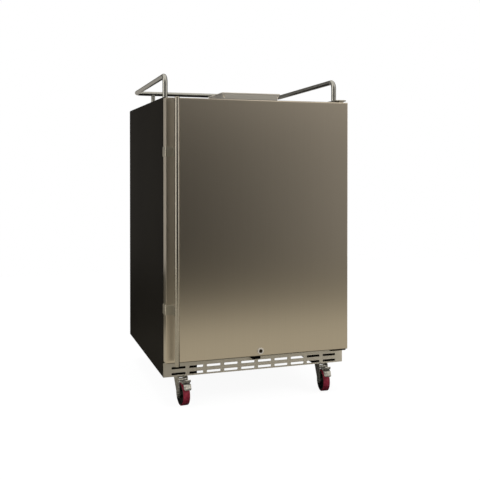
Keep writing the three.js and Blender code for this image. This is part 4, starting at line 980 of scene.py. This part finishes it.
class Stage:
    """A node tree of the floor or the world, with short calls for what both use."""

    def __init__(self, tree):
        self.tree = tree
        self.rays = tree.nodes.new("ShaderNodeLightPath").outputs

    def place(self, output):
        """X, Y and Z of one kind of coordinate."""
        split = self.tree.nodes.new("ShaderNodeSeparateXYZ")
        coordinates = self.tree.nodes.new("ShaderNodeTexCoord")
        self.tree.links.new(coordinates.outputs[output], split.inputs["Vector"])
        return split.outputs

    def share(self, value, low, high):
        """How far a value is on its way from low to high, from 0 to 1."""
        share = self.tree.nodes.new("ShaderNodeMapRange")
        share.inputs["From Min"].default_value = low
        share.inputs["From Max"].default_value = high
        self.tree.links.new(value, share.inputs["Value"])
        return share.outputs["Result"]

    def math(self, operation, *values):
        """The result of one operation on one or two values."""
        step = self.tree.nodes.new("ShaderNodeMath")
        step.operation = operation
        for socket, value in zip(step.inputs, values):
            self.tree.links.new(value, socket)
        return step.outputs["Value"]

    def azimuth(self, place):
        """Direction round the room in radians: 0 to the front, growing to the right."""
        ahead = self.share(place["Y"], 1.0, -1.0)
        # From -1 to 1 instead of 0 to 1, so that it is minus Y
        ahead.node.inputs["To Min"].default_value = -1.0
        return self.math("ARCTAN2", place["X"], ahead)

    def levels(self, value, low, high, stops, tint):
        """A light level that follows a value, from a list of places and levels."""
        ramp = self.tree.nodes.new("ShaderNodeValToRGB")
        elements = ramp.color_ramp.elements
        rows = [((at - low) / (high - low), tinted(level, tint)) for at, level in stops]
        elements[0].position, elements[0].color = rows[0]
        elements[1].position, elements[1].color = rows[-1]
        for position, colour in rows[1:-1]:
            elements.new(position).color = colour
        self.tree.links.new(value, ramp.inputs["Fac"])
        return ramp.outputs["Color"]

    def plain(self, colour):
        """One colour all over."""
        source = self.tree.nodes.new("ShaderNodeRGB").outputs[0]
        source.default_value = colour
        return source

    def mix(self, share, first, second):
        """The first colour at a share of 0, and the second at 1."""
        mix = self.tree.nodes.new("ShaderNodeMix")
        mix.data_type = "RGBA"
        self.tree.links.new(share, mix.inputs["Factor"])
        self.tree.links.new(first, mix.inputs["A"])
        self.tree.links.new(second, mix.inputs["B"])
        return mix.outputs["Result"]

    def shader(self, kind, **values):
        """A shader of one kind, with values for its sockets by name."""
        node = self.tree.nodes.new(kind)
        for name, value in values.items():
            node.inputs[name].default_value = value
        return node

    def chosen(self, ray, plain, special):
        """The plain shader, or the special one for rays of one kind."""
        mix = self.tree.nodes.new("ShaderNodeMixShader")
        self.tree.links.new(self.rays[ray], mix.inputs["Fac"])
        self.tree.links.new(plain.outputs[0], mix.inputs[1])
        self.tree.links.new(special.outputs[0], mix.inputs[2])
        return mix


# Light levels that metal sees on the floor, left and right, by metres behind the cabinet's middle,
# less than 0 in front of it
FLOOR_LEFT_STOPS = [
    (-2.6, 0.02), (-2.1, 0.1), (-1.7, 0.28), (-1.5, 0.48), (-1.25, 0.72), (-0.9, 0.68),
    (0.4, 0.6), (0.9, 0.12), (2.6, 0.02),
]
FLOOR_RIGHT_STOPS = [
    (-2.6, 0.28), (-2.1, 0.32), (-1.7, 0.42), (-1.5, 0.58), (-1.25, 0.74), (-0.9, 0.68),
    (0.4, 0.6), (0.9, 0.12), (2.6, 0.02),
]

# Places across the floor where the left levels end and the right ones are reached
FLOOR_LEFT = 0.1
FLOOR_RIGHT = 1.5

# Shade under the cabinet: its level, and its half width and half depth where it is full and where it ends
FLOOR_SHADE = 0.04
FLOOR_SHADED = (0.34, 0.47)
FLOOR_LIT = (0.45, 0.56)

# Light levels that metal sees round the room, by degrees from the front, low down and high up
HALF_TURN = 180.0
ROOM_STOPS = [
    (-180, 0.6), (-160, 0.6), (-148, 0.05), (-112, 0.04), (-98, 2.0), (-70, 2.0), (-56, 0.35), (-44, 0.05),
    (-10, 0.0), (10, 0.0), (20, 0.05), (27, 0.28), (36, 0.45), (48, 1.6), (62, 1.6), (74, 0.08),
    (148, 0.05), (160, 0.6), (180, 0.6),
]
CEILING_STOPS = [
    (-180, 0.12), (-125, 0.1), (-107, 0.3), (-92, 1.9), (-62, 1.9), (-47, 0.3), (-20, 0.1),
    (10, 0.1), (14, 0.4), (18, 1.8), (26, 1.5), (40, 1.0), (52, 1.5), (66, 1.5), (80, 0.2),
    (130, 0.1), (180, 0.12),
]

# Rises of a direction, from 0 level to 1 straight up. The low levels change to the high ones between
# the first two, and these change to the zenith's level between the next two.
HORIZON_RISE = 0.075
CEILING_RISE = 0.3
ZENITH_START = 0.45
ZENITH_END = 0.8
ZENITH = 1.2


def floor_glow(stage):
    """The floor that metal sees: bright close in front of the cabinet, and dark under it."""
    place = stage.place("Object")
    first, last = FLOOR_LEFT_STOPS[0][0], FLOOR_LEFT_STOPS[-1][0]
    behind = stage.share(place["Y"], first, last)
    left = stage.levels(behind, first, last, FLOOR_LEFT_STOPS, FLOOR_TINT)
    right = stage.levels(behind, first, last, FLOOR_RIGHT_STOPS, FLOOR_TINT)
    lit = stage.mix(stage.share(place["X"], FLOOR_LEFT, FLOOR_RIGHT), left, right)
    inside = []
    for key, full, end in zip("XY", FLOOR_SHADED, FLOOR_LIT):
        inside.append(stage.share(stage.math("ABSOLUTE", place[key]), end, full))
    shade = stage.plain(tinted(FLOOR_SHADE, FLOOR_TINT))
    glow = stage.shader("ShaderNodeEmission")
    stage.tree.links.new(stage.mix(stage.math("MINIMUM", *inside), lit, shade), glow.inputs["Color"])
    return glow


def floor():
    """White to the camera with a faint shadow, and a glow of its own for metal."""
    plane = stage_square("floor", FLOOR_SIZE)
    material = bpy.data.materials.new("floor_white")
    material.use_nodes = True
    tree = material.node_tree
    stage = Stage(tree)
    tree.nodes.remove(tree.nodes["Principled BSDF"])
    matte = stage.shader("ShaderNodeBsdfDiffuse", Color=grey(FLOOR_MATTE))
    white = stage.shader("ShaderNodeEmission", Strength=FLOOR_SEEN)
    seen = tree.nodes.new("ShaderNodeAddShader")
    tree.links.new(matte.outputs[0], seen.inputs[0])
    tree.links.new(white.outputs[0], seen.inputs[1])
    both = stage.chosen("Is Glossy Ray", stage.chosen("Is Camera Ray", matte, seen), floor_glow(stage))
    tree.links.new(both.outputs[0], tree.nodes["Material Output"].inputs["Surface"])
    plane.data.materials.append(material)


def world():
    """Even light for matt surfaces, white for the camera, and a room with soft boxes for metal."""
    sky = bpy.data.worlds.new("studio")
    sky.use_nodes = True
    bpy.context.scene.world = sky
    stage = Stage(sky.node_tree)
    even = sky.node_tree.nodes["Background"]
    even.inputs["Color"].default_value = grey(1)
    even.inputs["Strength"].default_value = SKY_LIGHT
    white = stage.shader("ShaderNodeBackground", Color=grey(1))
    room = stage.shader("ShaderNodeBackground")
    place = stage.place("Generated")
    turn = stage.share(stage.azimuth(place), -math.pi, math.pi)
    walls = stage.levels(turn, -HALF_TURN, HALF_TURN, ROOM_STOPS, ROOM_TINT)
    ceiling = stage.levels(turn, -HALF_TURN, HALF_TURN, CEILING_STOPS, ROOM_TINT)
    sides = stage.mix(stage.share(place["Z"], HORIZON_RISE, CEILING_RISE), walls, ceiling)
    overhead = stage.plain(tinted(ZENITH, ROOM_TINT))
    above = stage.share(place["Z"], ZENITH_START, ZENITH_END)
    sky.node_tree.links.new(stage.mix(above, sides, overhead), room.inputs["Color"])
    both = stage.chosen("Is Glossy Ray", stage.chosen("Is Camera Ray", even, white), room)
    sky.node_tree.links.new(both.outputs[0], sky.node_tree.nodes["World Output"].inputs["Surface"])


def lamp(name, place, aim_height, side, power):
    """A square soft light that metal doesn't show."""
    data = bpy.data.lights.new(name, "AREA")
    data.shape = "RECTANGLE"
    data.size = side
    data.size_y = side
    data.energy = power
    light = bpy.data.objects.new(name, data)
    light.location = place
    aim = Vector((0, 0, aim_height)) - Vector(place)
    light.rotation_euler = aim.to_track_quat("-Z", "Y").to_euler()
    light.visible_glossy = False
    bpy.context.scene.collection.objects.link(light)


def camera():
    """Where the photograph was taken from."""
    data = bpy.data.cameras.new("camera")
    data.sensor_width = SENSOR_WIDTH
    data.lens = LENS
    data.shift_y = SHIFT_UP
    eye = bpy.data.objects.new("camera", data)
    eye.location = (CAMERA_X, CAMERA_Y, CAMERA_Z)
    eye.rotation_euler = (math.pi / 2 - CAMERA_DIP, 0, -CAMERA_TURN)
    bpy.context.scene.collection.objects.link(eye)
    bpy.context.scene.camera = eye


floor()
world()
for row in LAMPS:
    lamp(*row)
camera()
bpy.context.scene.view_settings.view_transform = "Standard"
